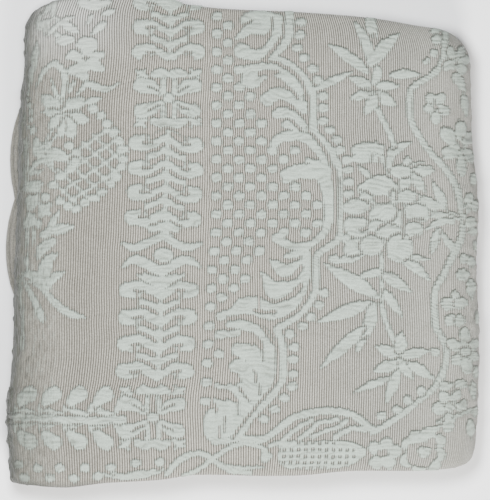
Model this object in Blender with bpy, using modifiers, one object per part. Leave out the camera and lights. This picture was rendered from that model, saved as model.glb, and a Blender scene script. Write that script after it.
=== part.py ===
"""Folded matelasse bedspread: one quilted cotton sheet, folded twice each way into a soft square bundle.

The sheet is made flat, as a grid with Solidify, and then every point is carried through two folds.
The cross fold lays the sheet in four plies, and the long fold lays those plies in four runs, so the
bundle is sixteen layers high. The bundle is then eased: crowned on top, flat below, uneven in outline.
Sizes are metres. +X is the bundle's right, +Y its far side and +Z up.
"""
import math
from collections import namedtuple

import bpy
import bmesh

# Cloth
CLOTH_THICK = 0.0026
PLY_PITCH = 0.0043
PLIES = 4
STRIP_PITCH = PLY_PITCH * PLIES
CLOTH_COLOUR = (0.56, 0.555, 0.515, 1.0)
CLOTH_ROUGHNESS = 0.92

# Bundle, before it is eased
FOLD_LEFT = -0.2500
FOLD_RIGHT = 0.2580
FOLD_NEAR = -0.2580
FOLD_FAR = 0.2580
HEM_LEFT = -0.2440
HEM_FAR = 0.2500
STACK_HEIGHT = STRIP_PITCH * 4 - PLY_PITCH + CLOTH_THICK

# Grid lines shared by all layers, as shares of the half width and half depth
ACROSS_LINES = (-0.80, -0.52, -0.22, 0.16, 0.50, 0.76)
ALONG_LINES = (-0.82, -0.45, 0.0, 0.45, 0.82)
WRAP_STEPS = 7
LEFT_FOLD_STEPS = 4
INNER_FOLD_STEPS = 3
OUTER_TURN_STEPS = 5
HAIRPIN_STEPS = 3
INNER_TURN_STEPS = 2

# Finer grid of the face that shows on top
FINE_ACROSS = 0.0100
FINE_ALONG = 0.0100

# Crown of the bundle
CROWN_HEIGHT = 0.0760
Shoulder = namedtuple("Shoulder", "side starts drop power")
SHOULDERS = (
    Shoulder(side="left", starts=0.62, drop=0.20, power=2.0),
    Shoulder(side="right", starts=0.50, drop=0.17, power=2.2),
    Shoulder(side="near", starts=0.80, drop=0.10, power=2.0),
    Shoulder(side="far", starts=0.76, drop=0.12, power=2.0),
)
Swell = namedtuple("Swell", "across along waves_across waves_along rise")
SWELLS = (
    Swell(across=0.3, along=0.1, waves_across=0.9, waves_along=0.6, rise=0.012),
    Swell(across=0.9, along=0.4, waves_across=1.7, waves_along=1.3, rise=0.006),
    Swell(across=0.2, along=0.8, waves_across=2.6, waves_along=2.1, rise=0.004),
)

# Uneven outline: how far each edge of the bundle stands out of line along its length
Edge = namedtuple("Edge", "at out")
LEFT_EDGE = (
    Edge(at=-1.00, out=0.0000), Edge(at=-0.93, out=0.0050), Edge(at=-0.69, out=0.0099),
    Edge(at=-0.56, out=0.0055), Edge(at=-0.40, out=0.0022), Edge(at=-0.19, out=0.0022),
    Edge(at=0.02, out=0.0000), Edge(at=0.23, out=-0.0022), Edge(at=0.44, out=-0.0033),
    Edge(at=0.60, out=-0.0050), Edge(at=0.77, out=-0.0093), Edge(at=0.92, out=-0.0100),
    Edge(at=1.00, out=-0.0165),
)
RIGHT_EDGE = (
    Edge(at=-1.00, out=-0.0110), Edge(at=-0.93, out=-0.0028), Edge(at=-0.75, out=0.0011),
    Edge(at=-0.42, out=0.0033), Edge(at=-0.24, out=0.0011), Edge(at=-0.06, out=0.0000),
    Edge(at=0.15, out=0.0022), Edge(at=0.33, out=0.0000), Edge(at=0.46, out=-0.0044),
    Edge(at=0.67, out=-0.0055), Edge(at=0.86, out=-0.0070), Edge(at=0.94, out=-0.0110),
    Edge(at=1.00, out=-0.0200),
)
FAR_EDGE = (
    Edge(at=-1.00, out=-0.0030), Edge(at=-0.93, out=0.0050), Edge(at=-0.84, out=0.0115),
    Edge(at=-0.60, out=0.0145), Edge(at=-0.40, out=0.0115), Edge(at=-0.30, out=0.0045),
    Edge(at=-0.10, out=-0.0005), Edge(at=0.20, out=-0.0033), Edge(at=0.41, out=-0.0066),
    Edge(at=0.60, out=-0.0108), Edge(at=0.80, out=-0.0187), Edge(at=0.93, out=-0.0235),
    Edge(at=1.00, out=-0.0290),
)
NEAR_EDGE = (
    Edge(at=-1.00, out=0.0010), Edge(at=-0.95, out=0.0075), Edge(at=-0.76, out=0.0110),
    Edge(at=-0.58, out=0.0060), Edge(at=-0.34, out=0.0025), Edge(at=-0.20, out=-0.0028),
    Edge(at=0.10, out=-0.0017), Edge(at=0.27, out=-0.0028), Edge(at=0.45, out=-0.0070),
    Edge(at=0.75, out=-0.0075), Edge(at=0.92, out=-0.0110), Edge(at=1.00, out=-0.0190),
)

# How far each run of the long fold slips past the next, along Y
Slip = namedtuple("Slip", "far near")
RUN_SLIPS = (
    Slip(far=0.0, near=0.0),
    Slip(far=-0.0035, near=-0.0025),
    Slip(far=-0.0015, near=0.0010),
    Slip(far=-0.0050, near=-0.0030),
)

# Scalloped hem
SCALLOP_PITCH = 0.1155
SCALLOP_PEAK = 0.111
SCALLOP_DEPTH = 0.0105
HEM_POINT_PITCH = 0.022
Reach = namedtuple("Reach", "at out")
HEM_REACH = (
    Reach(at=-1.0, out=0.0030), Reach(at=-0.465, out=0.0063), Reach(at=0.0, out=0.0170),
    Reach(at=0.43, out=0.0151), Reach(at=0.87, out=0.0038), Reach(at=1.0, out=0.0010),
)
UPPER_HEM_SETBACK = 0.0050

# Raised quilting of the face that shows, in metres from the bundle's middle
PUFF_HEIGHT = 0.0021
LAUREL_MIDDLE = -0.0845
LAUREL_LEAN = 0.037
LAUREL_HALF = 0.039
LAUREL_PITCH = 0.0294
LAUREL_TURN = -0.011
CROSS_LAUREL_MIDDLE = -0.1930
CROSS_LAUREL_END = -0.1180
DOT_LEFT = -0.0400
DOT_RIGHT = 0.0050
DOT_LOWEST = -0.0900
Puff = namedtuple("Puff", "x y half_long half_wide turn")
PUFFS = (
    # rosettes on the laurel
    Puff(-0.081, 0.160, 0.036, 0.010, 38), Puff(-0.081, 0.160, 0.036, 0.010, -38),
    Puff(-0.099, -0.193, 0.036, 0.010, 34), Puff(-0.099, -0.193, 0.036, 0.010, -34),
    # left spray and its trellis
    Puff(-0.172, 0.205, 0.026, 0.014, 80), Puff(-0.205, 0.230, 0.024, 0.008, 30),
    Puff(-0.160, 0.150, 0.030, 0.009, 8), Puff(-0.185, 0.137, 0.020, 0.012, -30),
    Puff(-0.200, 0.166, 0.024, 0.006, 65), Puff(-0.155, 0.118, 0.034, 0.005, 35),
    Puff(-0.152, 0.100, 0.036, 0.005, 32), Puff(-0.158, 0.082, 0.036, 0.005, 30),
    Puff(-0.170, 0.060, 0.034, 0.005, 28), Puff(-0.208, 0.030, 0.026, 0.010, 50),
    Puff(-0.212, -0.014, 0.032, 0.008, 55), Puff(-0.190, -0.064, 0.034, 0.005, -35),
    Puff(-0.222, -0.068, 0.024, 0.004, -60),
    # scroll frame, upper half
    Puff(0.022, 0.222, 0.034, 0.013, 5), Puff(0.030, 0.165, 0.034, 0.012, -14),
    Puff(0.038, 0.140, 0.030, 0.010, -16), Puff(0.044, 0.112, 0.032, 0.010, -20),
    Puff(0.052, 0.092, 0.026, 0.008, -25), Puff(0.062, 0.070, 0.034, 0.010, 0),
    # scroll frame, lower half
    Puff(0.048, -0.008, 0.036, 0.009, -12), Puff(0.040, -0.034, 0.036, 0.010, -6),
    Puff(0.038, -0.056, 0.036, 0.010, -2), Puff(0.020, -0.076, 0.040, 0.009, 6),
    Puff(0.010, -0.118, 0.052, 0.026, 60), Puff(-0.006, -0.158, 0.034, 0.018, 50),
    # bouquet
    Puff(0.140, 0.208, 0.030, 0.012, 75), Puff(0.160, 0.218, 0.022, 0.010, 20),
    Puff(0.112, 0.200, 0.028, 0.007, -35), Puff(0.144, 0.156, 0.030, 0.014, 0),
    Puff(0.112, 0.183, 0.022, 0.006, 32), Puff(0.150, 0.076, 0.028, 0.024, 90),
    Puff(0.190, 0.066, 0.026, 0.014, -20), Puff(0.146, 0.020, 0.040, 0.020, 0),
    Puff(0.192, 0.020, 0.034, 0.012, -5), Puff(0.112, 0.000, 0.024, 0.018, 30),
    Puff(0.120, -0.040, 0.042, 0.010, -20), Puff(0.118, -0.064, 0.032, 0.008, 8),
    Puff(0.122, -0.105, 0.040, 0.007, 48), Puff(0.176, -0.048, 0.048, 0.009, -42),
    Puff(0.198, -0.012, 0.040, 0.009, -32), Puff(0.178, -0.132, 0.042, 0.013, 5),
    Puff(0.166, -0.166, 0.032, 0.009, 40),
    # foot of the frame
    Puff(0.086, -0.234, 0.044, 0.015, 3), Puff(0.158, -0.232, 0.020, 0.016, 0),
    Puff(0.196, -0.228, 0.026, 0.022, 0), Puff(0.006, -0.236, 0.024, 0.012, 0),
)
Ridge = namedtuple("Ridge", "half_wide points")
RIDGES = (
    # outer line of the scroll frame, upper then lower half
    Ridge(0.0055, ((0.060, 0.238), (0.058, 0.214), (0.066, 0.180), (0.076, 0.150), (0.078, 0.115),
                   (0.098, 0.088), (0.106, 0.060), (0.107, 0.010))),
    Ridge(0.0055, ((0.107, 0.010), (0.104, -0.030), (0.090, -0.060), (0.064, -0.082), (0.046, -0.105),
                   (0.046, -0.150), (0.020, -0.182), (0.000, -0.212), (-0.045, -0.248))),
    # garland beside the bouquet
    Ridge(0.0050, ((0.222, 0.226), (0.216, 0.196), (0.186, 0.170), (0.184, 0.140), (0.214, 0.090),
                   (0.236, 0.044), (0.240, 0.000), (0.216, -0.048), (0.210, -0.090), (0.224, -0.130),
                   (0.214, -0.158), (0.180, -0.184), (0.140, -0.204))),
    # arch at the foot
    Ridge(0.0048, ((0.022, -0.212), (0.062, -0.190), (0.096, -0.184), (0.124, -0.190), (0.144, -0.206))),
)


def hermite(rows, place):
    """Value of a short table at a place, by a cubic through its rows with finite-difference slopes."""
    if place <= rows[0].at:
        return rows[0].out
    if place >= rows[-1].at:
        return rows[-1].out
    upper = next(index for index, row in enumerate(rows) if row.at >= place)
    low = rows[upper - 1]
    high = rows[upper]
    before = rows[max(upper - 2, 0)]
    after = rows[min(upper + 1, len(rows) - 1)]
    width = high.at - low.at
    slope_low = (high.out - before.out) / (high.at - before.at) * width
    slope_high = (after.out - low.out) / (after.at - low.at) * width
    share = (place - low.at) / width
    square = share * share
    cube = square * share
    return ((2 * cube - 3 * square + 1) * low.out + (cube - 2 * square + share) * slope_low
            + (3 * square - 2 * cube) * high.out + (cube - square) * slope_high)


class Straight:
    """A flat stretch of a fold, from one place to another at one height, with its inner grid lines."""

    def __init__(self, start, end, height, lines):
        self.start = start
        self.height = height
        self.way = 1.0 if end > start else -1.0
        self.length = abs(end - start)
        inside = [line for line in lines if min(start, end) < line < max(start, end)]
        self.stations = [0.0] + sorted(abs(line - start) for line in inside)

    def at(self, length):
        return self.start + self.way * length, self.height, self.way, 0.0


class Bend:
    """A round stretch of a fold: centre, radius, first angle and sweep in half turns."""

    def __init__(self, across, height, radius, first, sweep, steps):
        self.across = across
        self.height = height
        self.radius = radius
        self.first = first * math.pi
        self.sweep = sweep * math.pi
        self.length = abs(self.sweep) * radius
        self.stations = [self.length * step / steps for step in range(steps)]

    def at(self, length):
        angle = self.first + self.sweep * length / self.length
        way = math.copysign(1.0, self.sweep)
        return (self.across + self.radius * math.cos(angle), self.height + self.radius * math.sin(angle),
                -math.sin(angle) * way, math.cos(angle) * way)


class Fold:
    """Stretches joined end to end: gives the place and direction at any length along the cloth."""

    def __init__(self, stretches):
        self.stretches = stretches
        self.starts = []
        total = 0.0
        for stretch in stretches:
            self.starts.append(total)
            total += stretch.length
        self.length = total

    def lines(self):
        """Lengths of all grid lines, and the number of the stretch that each one starts in."""
        found = []
        for number, stretch in enumerate(self.stretches):
            found += [(self.starts[number] + station, number) for station in stretch.stations]
        return found + [(self.length, len(self.stretches) - 1)]

    def at(self, length):
        number = max(index for index, start in enumerate(self.starts) if index == 0 or start <= length)
        return self.stretches[number].at(length - self.starts[number])

    def stretch_of(self, length):
        return max(index for index, start in enumerate(self.starts) if index == 0 or start <= length)


def long_fold():
    """Run 4 at the bottom, the wrap at the right, run 1 on top, the left fold, run 2, the inner fold, run 3."""
    strip_half = STACK_HEIGHT / 2 - 1.5 * STRIP_PITCH
    inner = STRIP_PITCH / 2
    outer = STRIP_PITCH * 1.5
    right = FOLD_RIGHT - outer - strip_half
    left = FOLD_LEFT + inner + strip_half
    slack = 0.0015
    half = (FOLD_RIGHT - FOLD_LEFT) / 2
    middle = (FOLD_RIGHT + FOLD_LEFT) / 2
    lines = [middle + half * share for share in ACROSS_LINES]
    return Fold([
        Straight(HEM_LEFT, right, -outer, lines),
        Bend(right, 0.0, outer, -0.5, 1.0, WRAP_STEPS),
        Straight(right, left, outer, lines),
        Bend(left, STRIP_PITCH, inner, 0.5, 1.0, LEFT_FOLD_STEPS),
        Straight(left, right - slack, inner, lines),
        Bend(right - slack, 0.0, inner, 0.5, -1.0, INNER_FOLD_STEPS),
        Straight(right - slack, HEM_LEFT, -inner, lines),
    ])


def cross_fold():
    """Ply 4, the outer turn at the near side, ply 1, the hairpin at the far side, ply 2, the inner turn, ply 3."""
    outer = PLY_PITCH * 1.5
    inner = PLY_PITCH / 2
    near = FOLD_NEAR + outer + CLOTH_THICK / 2
    far = FOLD_FAR - inner - CLOTH_THICK / 2
    slack = 0.0005
    half = (FOLD_FAR - FOLD_NEAR) / 2
    lines = [half * share for share in ALONG_LINES]
    return Fold([
        Straight(HEM_FAR, near, -outer, lines),
        Bend(near, 0.0, outer, -0.5, -1.0, OUTER_TURN_STEPS),
        Straight(near, far, outer, lines),
        Bend(far, PLY_PITCH, inner, 0.5, -1.0, HAIRPIN_STEPS),
        Straight(far, near + slack, inner, lines),
        Bend(near + slack, 0.0, inner, 0.5, 1.0, INNER_TURN_STEPS),
        Straight(near + slack, HEM_FAR, -inner, lines),
    ])


TOP_RUN = 2
TOP_PLY = 2
RUN_OF_STRETCH = (3, None, 0, None, 1, None, 2)


def scallop(place):
    """Depth of the hem's lobes at a place along it: rounded lobes with sharp notches between."""
    phase = math.pi * (place - SCALLOP_PEAK) / SCALLOP_PITCH
    return SCALLOP_DEPTH * (abs(math.cos(phase)) ** 0.6 - 1.0)


def laurel(across, along, turn):
    """Height of a band of leaf pairs: a stem, and chevrons that point away from the turn."""
    reach = abs(across)
    if reach > LAUREL_HALF:
        return 0.0
    way = 1.0 if along < turn else -1.0
    wave = 0.5 + 0.5 * math.cos(2 * math.pi * (along - turn - way * 0.35 * reach) / LAUREL_PITCH)
    lobes = wave * min(1.0, (LAUREL_HALF - reach) / 0.008)
    stem = max(0.0, 1.0 - reach / 0.006)
    return max(lobes, stem)


def dots(x, y):
    """Height of the staggered dots beside the laurel, one on every other grid crossing."""
    left = DOT_LEFT + 0.5 * LAUREL_LEAN * y
    if not (left < x < DOT_RIGHT and y > DOT_LOWEST):
        return 0.0
    column = round((x - left) / FINE_ACROSS)
    row = round(y / FINE_ALONG)
    return 1.0 if (column + row) % 2 == 0 else 0.0


def puff(row, x, y):
    """Height of one almond-shaped puff."""
    turn = math.radians(row.turn)
    along = ((x - row.x) * math.cos(turn) + (y - row.y) * math.sin(turn)) / (row.half_long + 0.003)
    aside = ((y - row.y) * math.cos(turn) - (x - row.x) * math.sin(turn)) / (row.half_wide + 0.003)
    return max(0.0, 1.0 - (along * along + aside * aside) ** 1.5)


def ridge(row, x, y):
    """Height of a rounded line through a few points."""
    nearest = 1.0
    for (ax, ay), (bx, by) in zip(row.points, row.points[1:]):
        dx = bx - ax
        dy = by - ay
        share = ((x - ax) * dx + (y - ay) * dy) / (dx * dx + dy * dy)
        share = min(1.0, max(0.0, share))
        nearest = min(nearest, math.hypot(x - ax - share * dx, y - ay - share * dy))
    return max(0.0, 1.0 - (nearest / (row.half_wide + 0.003)) ** 2)


def quilting(x, y):
    """Height of the raised pattern at a place on the top face."""
    middle = LAUREL_MIDDLE + LAUREL_LEAN * y
    height = max(dots(x, y), laurel(x - middle, y, LAUREL_TURN))
    if x < CROSS_LAUREL_END:
        height = max(height, laurel(y - CROSS_LAUREL_MIDDLE, x, CROSS_LAUREL_END + LAUREL_PITCH))
    height = max([height] + [puff(row, x, y) for row in PUFFS])
    height = max([height] + [ridge(row, x, y) for row in RIDGES])
    margin = min((x - FOLD_LEFT) - 0.020, (FOLD_RIGHT - x) - 0.036, (y - FOLD_NEAR) - 0.010,
                 (FOLD_FAR - y) - 0.006)
    return PUFF_HEIGHT * height * min(1.0, max(0.0, margin / 0.008))


def ease(x, y, z, run_share):
    """The bundle as it settles: outline out of line, plies slipped, top crowned, base flat."""
    middle = (FOLD_RIGHT + FOLD_LEFT) / 2
    across = (x - middle) / ((FOLD_RIGHT - FOLD_LEFT) / 2)
    along = y / FOLD_FAR
    right = min(1.0, max(0.0, 0.5 + 0.5 * across)) ** 2
    left = min(1.0, max(0.0, 0.5 - 0.5 * across)) ** 2
    far = min(1.0, max(0.0, 0.5 + 0.5 * along)) ** 2
    near = min(1.0, max(0.0, 0.5 - 0.5 * along)) ** 2
    new_x = x + right * hermite(RIGHT_EDGE, along) - left * hermite(LEFT_EDGE, along)
    new_y = y + far * hermite(FAR_EDGE, across) - near * hermite(NEAR_EDGE, across)
    new_y += far * run_share[0] - near * run_share[1]
    height = CROWN_HEIGHT
    reaches = {"left": -across, "right": across, "near": -along, "far": along}
    for shoulder in SHOULDERS:
        past = max(0.0, (reaches[shoulder.side] - shoulder.starts) / (1.0 - shoulder.starts))
        height *= 1.0 - shoulder.drop * min(past, 1.3) ** shoulder.power
    for swell in SWELLS:
        wave = math.sin(math.pi * (swell.waves_across * across + swell.across))
        height *= 1.0 + swell.rise * wave * math.cos(math.pi * (swell.waves_along * along + swell.along))
    return new_x, new_y, height * (z / STACK_HEIGHT + 0.5)


def slip_at(fold, length):
    """How far the cloth has slipped along Y at a length of the long fold, blended round each bend."""
    number = fold.stretch_of(length)
    run = RUN_OF_STRETCH[number]
    if run is not None:
        return RUN_SLIPS[run]
    before = RUN_SLIPS[RUN_OF_STRETCH[number - 1]]
    after = RUN_SLIPS[RUN_OF_STRETCH[number + 1]]
    share = (length - fold.starts[number]) / fold.stretches[number].length
    share = share * share * (3 - 2 * share)
    return Slip(before.far + (after.far - before.far) * share, before.near + (after.near - before.near) * share)


def flat_sheet(name, long_lines, cross_lines):
    """The unfolded cloth: an open grid whose lines lie where the folds need them, then Solidify."""
    columns = len(long_lines) - 1
    rows = len(cross_lines) - 1
    grid = bmesh.new()
    bmesh.ops.create_grid(grid, x_segments=columns, y_segments=rows, size=0.5)
    for vert in grid.verts:
        column = round((vert.co.x + 0.5) * columns)
        row = round((vert.co.y + 0.5) * rows)
        vert.co = (long_lines[column][0], cross_lines[row][0], 0.0)
    mesh = bpy.data.meshes.new(name)
    grid.to_mesh(mesh)
    grid.free()
    sheet = bpy.data.objects.new(name, mesh)
    bpy.context.scene.collection.objects.link(sheet)
    shell = sheet.modifiers.new("cloth_thickness", "SOLIDIFY")
    shell.thickness = CLOTH_THICK
    shell.offset = 0.0
    solid = bpy.data.meshes.new_from_object(sheet.evaluated_get(bpy.context.evaluated_depsgraph_get()))
    bpy.data.objects.remove(sheet, do_unlink=True)
    return solid


def blocks(lines, number):
    """The parts of one stretch between its grid lines, as pairs of lengths."""
    inside = [length for length, stretch in lines if stretch == number]
    last = next(length for length, stretch in lines if length > inside[-1])
    edges = inside + [last]
    return list(zip(edges, edges[1:]))


def cut_rows(sheet, direction, block, limits, pitch):
    """Cut the top face's grid between two lines into strips of about one pitch, across one direction."""
    other = 1 - direction
    cuts = max(0, round((block[1] - block[0]) / pitch) - 1)
    if cuts == 0:
        return
    chosen = []
    for edge in sheet.edges:
        first, second = (vert.co for vert in edge.verts)
        low = min(first[direction], second[direction])
        high = max(first[direction], second[direction])
        spans = abs(low - block[0]) < 1e-6 and abs(high - block[1]) < 1e-6
        on_face = min(first.z, second.z) > 0
        inside = all(limits[0] - 1e-6 < place[other] < limits[1] + 1e-6 for place in (first, second))
        if spans and on_face and inside and abs(first[other] - second[other]) < 1e-6:
            chosen.append(edge)
    bmesh.ops.subdivide_edges(sheet, edges=chosen, cuts=cuts, use_grid_fill=True)


def cut_hems(sheet, long_length, cross_length):
    """Give the sheet's rim more points, for the scallops."""
    chosen = {}
    for edge in sheet.edges:
        first, second = (vert.co for vert in edge.verts)
        along_end = any(abs(first.x - end) < 1e-6 and abs(second.x - end) < 1e-6 for end in (0.0, long_length))
        cross_end = any(abs(first.y - end) < 1e-6 and abs(second.y - end) < 1e-6 for end in (0.0, cross_length))
        cuts = round((first - second).length / HEM_POINT_PITCH) - 1
        if cuts > 0 and (along_end or cross_end):
            chosen.setdefault(cuts, []).append(edge)
    for cuts, edges in chosen.items():
        bmesh.ops.subdivide_edges(sheet, edges=edges, cuts=cuts)


def fold_sheet(sheet, long_way, cross_way):
    """Carry each point of the flat sheet through the cross fold, the long fold and the easing."""
    top_across = long_way.starts[TOP_RUN], long_way.starts[TOP_RUN + 1]
    top_along = cross_way.starts[TOP_PLY], cross_way.starts[TOP_PLY + 1]
    for vert in sheet.verts:
        length, width, offset = vert.co
        y, ply, y_way, ply_way = cross_way.at(min(max(width, 0.0), cross_way.length))
        x, z, x_way, z_way = long_way.at(min(max(length, 0.0), long_way.length))
        if offset > 0 and top_across[0] < length < top_across[1] and top_along[0] < width < top_along[1]:
            offset += quilting(x, y)
        flat_x = x
        y -= offset * ply_way
        ply += offset * y_way
        x += ply * z_way
        z -= ply * x_way
        if length < 1e-6 or length > long_way.length - 1e-6:
            x -= scallop(y) + hermite(HEM_REACH, y / FOLD_FAR)
            x += UPPER_HEM_SETBACK if length > 1e-6 else 0.0
        if width < 1e-6 or width > cross_way.length - 1e-6:
            y += scallop(flat_x)
        vert.co = ease(x, y, z, slip_at(long_way, length))


def centre(sheet):
    """Put the bundle's middle over the origin and its base on the floor."""
    lows = [min(vert.co[axis] for vert in sheet.verts) for axis in range(3)]
    highs = [max(vert.co[axis] for vert in sheet.verts) for axis in range(3)]
    shift = (-(lows[0] + highs[0]) / 2, -(lows[1] + highs[1]) / 2, -lows[2])
    bmesh.ops.translate(sheet, verts=sheet.verts, vec=shift)


def cloth_material():
    material = bpy.data.materials.new("matelasse_cotton")
    material.use_nodes = True
    surface = material.node_tree.nodes["Principled BSDF"]
    surface.inputs["Base Color"].default_value = CLOTH_COLOUR
    surface.inputs["Roughness"].default_value = CLOTH_ROUGHNESS
    surface.inputs["Metallic"].default_value = 0.0
    material.diffuse_color = CLOTH_COLOUR
    return material


def build_bedspread(collection):
    long_way = long_fold()
    cross_way = cross_fold()
    long_lines = long_way.lines()
    cross_lines = cross_way.lines()
    sheet = bmesh.new()
    sheet.from_mesh(flat_sheet("flat_cloth", long_lines, cross_lines))
    across_limits = long_way.starts[TOP_RUN], long_way.starts[TOP_RUN + 1]
    along_limits = cross_way.starts[TOP_PLY], cross_way.starts[TOP_PLY + 1]
    for block in blocks(long_lines, TOP_RUN):
        cut_rows(sheet, 0, block, along_limits, FINE_ACROSS)
    for block in blocks(cross_lines, TOP_PLY):
        cut_rows(sheet, 1, block, across_limits, FINE_ALONG)
    cut_hems(sheet, long_way.length, cross_way.length)
    fold_sheet(sheet, long_way, cross_way)
    centre(sheet)
    bmesh.ops.triangulate(sheet, faces=sheet.faces)
    bmesh.ops.recalc_face_normals(sheet, faces=sheet.faces)
    mesh = bpy.data.meshes.new("bedspread")
    sheet.to_mesh(mesh)
    sheet.free()
    bedspread = bpy.data.objects.new("bedspread", mesh)
    bedspread.data.materials.append(cloth_material())
    collection.objects.link(bedspread)
    return bedspread


def main():
    for found in list(bpy.data.objects):
        bpy.data.objects.remove(found, do_unlink=True)
    collection = bpy.data.collections.new("matelasse_bedspread")
    bpy.context.scene.collection.children.link(collection)
    build_bedspread(collection)


main()
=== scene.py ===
"""Folded matelasse bedspread: its looks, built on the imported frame.

Two kinds of piece are made. The layers are the whole cloth, one closed sheet carried through the cross
fold and the long fold. The face is the woven relief of the ply that shows: leaves, scrolls, laurel and
dots puffed above a ribbed ground. It lies a hair above the layers and turns under with them.
Sizes are metres. The pattern is charted in squares of 1.1 mm, column from the left and row from the far edge.
"""

import math
from collections import namedtuple

import bpy
import numpy as np
from bpy.props import FloatProperty, FloatVectorProperty, PointerProperty
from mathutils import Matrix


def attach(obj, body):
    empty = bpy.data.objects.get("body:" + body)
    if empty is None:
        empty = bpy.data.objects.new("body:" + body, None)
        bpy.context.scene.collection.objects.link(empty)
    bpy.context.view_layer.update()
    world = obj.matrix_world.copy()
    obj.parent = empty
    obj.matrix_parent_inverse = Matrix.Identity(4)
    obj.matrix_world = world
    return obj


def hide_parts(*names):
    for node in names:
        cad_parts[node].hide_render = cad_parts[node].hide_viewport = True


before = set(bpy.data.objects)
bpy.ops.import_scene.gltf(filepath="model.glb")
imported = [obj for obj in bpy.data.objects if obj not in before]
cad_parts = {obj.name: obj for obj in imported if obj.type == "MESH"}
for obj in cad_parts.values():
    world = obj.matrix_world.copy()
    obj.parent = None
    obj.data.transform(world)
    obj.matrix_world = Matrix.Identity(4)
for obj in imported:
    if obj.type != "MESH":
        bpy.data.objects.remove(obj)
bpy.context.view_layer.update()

bl_info = {
    "name": "Folded matelasse bedspread",
    "version": (1, 0, 0),
    "blender": (4, 5, 0),
    "location": "3D View > Sidebar > Bedspread",
    "description": "Builds the folded bedspread's layers, its raised face and the stage",
    "category": "Object",
}

# The cloth and its folds, as in the solid; the two near corners are up to 7 mm squarer here
CLOTH_THICK = 0.0026
PLY_PITCH = 0.0043
PLIES, STRIPS = 4, 4
STRIP_PITCH = PLY_PITCH * PLIES
FOLD_LEFT, FOLD_RIGHT = -0.2500, 0.2580
FOLD_NEAR, FOLD_FAR = -0.2580, 0.2580
HEM_LEFT, HEM_FAR = -0.2440, 0.2500
HEM_TAPER_LONG, HEM_TAPER_CROSS = 0.0448, 0.0384
STACK_HEIGHT = STRIP_PITCH * STRIPS - PLY_PITCH + CLOTH_THICK
CROWN_HEIGHT = 0.0760
LEFT_BLEND, SHOULDER_LIMIT = 0.4, 1.3
LONG_SLACK, CROSS_SLACK = 0.0015, 0.0005
MIDDLE_SHIFT = (0.0003725, -0.0010077)
Shoulder = namedtuple("Shoulder", "side starts drop power")
SHOULDERS = (
    Shoulder("left", 0.62, 0.20, 2.0), Shoulder("right", 0.50, 0.17, 2.2),
    Shoulder("near", 0.80, 0.10, 2.0), Shoulder("far", 0.76, 0.12, 2.0),
)
Swell = namedtuple("Swell", "across along waves_across waves_along rise")
SWELLS = (
    Swell(0.3, 0.1, 0.9, 0.6, 0.012), Swell(0.9, 0.4, 1.7, 1.3, 0.006), Swell(0.2, 0.8, 2.6, 2.1, 0.004),
)
# Uneven outline: (place along the edge, how far it stands out)
LEFT_EDGE = (
    (-1.00, 0.0068), (-0.93, 0.0068), (-0.69, 0.0099), (-0.56, 0.0055), (-0.40, 0.0022), (-0.19, 0.0022),
    (0.02, 0.0000), (0.23, -0.0022), (0.44, -0.0033), (0.60, -0.0050), (0.77, -0.0093), (0.92, -0.0100),
    (1.00, -0.0165),
)
RIGHT_EDGE = (
    (-1.00, -0.0060), (-0.93, -0.0015), (-0.75, 0.0011), (-0.42, 0.0033), (-0.24, 0.0011), (-0.06, 0.0000),
    (0.15, 0.0022), (0.33, 0.0000), (0.46, -0.0044), (0.67, -0.0055), (0.86, -0.0070), (0.94, -0.0110),
    (1.00, -0.0200),
)
FAR_EDGE = (
    (-1.00, -0.0030), (-0.93, 0.0050), (-0.84, 0.0115), (-0.60, 0.0145), (-0.40, 0.0115), (-0.30, 0.0045),
    (-0.10, -0.0005), (0.20, -0.0033), (0.41, -0.0066), (0.60, -0.0108), (0.80, -0.0187), (0.93, -0.0235),
    (1.00, -0.0290),
)
NEAR_EDGE = (
    (-1.00, 0.0070), (-0.95, 0.0080), (-0.76, 0.0110), (-0.58, 0.0060), (-0.34, 0.0025), (-0.20, -0.0028),
    (0.10, -0.0017), (0.27, -0.0028), (0.45, -0.0070), (0.75, -0.0075), (0.92, -0.0100), (1.00, -0.0140),
)
HEM_REACH = ((-1.0, 0.0030), (-0.465, 0.0063), (0.0, 0.0170), (0.43, 0.0151), (0.87, 0.0038), (1.0, 0.0010))
RUN_SLIPS = ((0.0, 0.0), (-0.0035, -0.0025), (-0.0015, 0.0010), (-0.0050, -0.0030))
RUN_OF_STRETCH = (3, None, 0, None, 1, None, 2)
UPPER_HEM_SETBACK = 0.0050
SCALLOP_PITCH, SCALLOP_PEAK, SCALLOP_DEPTH, SCALLOP_POWER = 0.1155, 0.111, 0.0105, 0.6

# Grids
LAYER_STEP = 0.0140
LONG_BEND_STEP, CROSS_BEND_STEP = 0.0056, 0.0014
RIM_BULGE = 0.9
UV_ROWS = 10.0
# Dots on the plies that the chart doesn't reach: ribs and rows to a dot, its column pitch and half sizes
PLY_DOT_RIBS, PLY_DOT_ROW, PLY_DOT_COLUMN, PLY_DOT_HALF = 5.0, 9.1, 11.5, (3.6, 3.2)
PLAIN_HEM, PLAIN_HEM_FADE = 0.042, 0.012
FACE_STEP_ACROSS = 0.00104
FACE_STEP_ALONG = 0.00110
FACE_STRIPS = 4
DRIFT_PLACES = 6000
FACE_LIFT = 0.00035
FACE_SINK = 0.00090
FACE_END = 0.0080
# Where the face ends under its turns: share of the wrap, then metres past the other three turns' lines
WRAP_SHARE, LEFT_REACH, NEAR_REACH, FAR_REACH = 0.12, 0.012, 0.010, 0.007

# Chart
SQUARE = 0.0011
CHART_COLUMN, CHART_ROW = 242.5, 243.0
CHART_WIDE = 490.0
RIB_PITCH, RIB_NARROWING = 2.53, 0.00065
TOOTH_REACH = 0.92
SEAM_HALF, SEAM_FROM = 1.1, -0.7
FAR_AWAY = 99.0
BORDER_COLUMN, BORDER_WIDE = 395.0, 40.0
GARLAND_COLUMN, GARLAND_WIDE, GARLAND_GROWTH = 424.0, 16.0, 0.6

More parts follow.
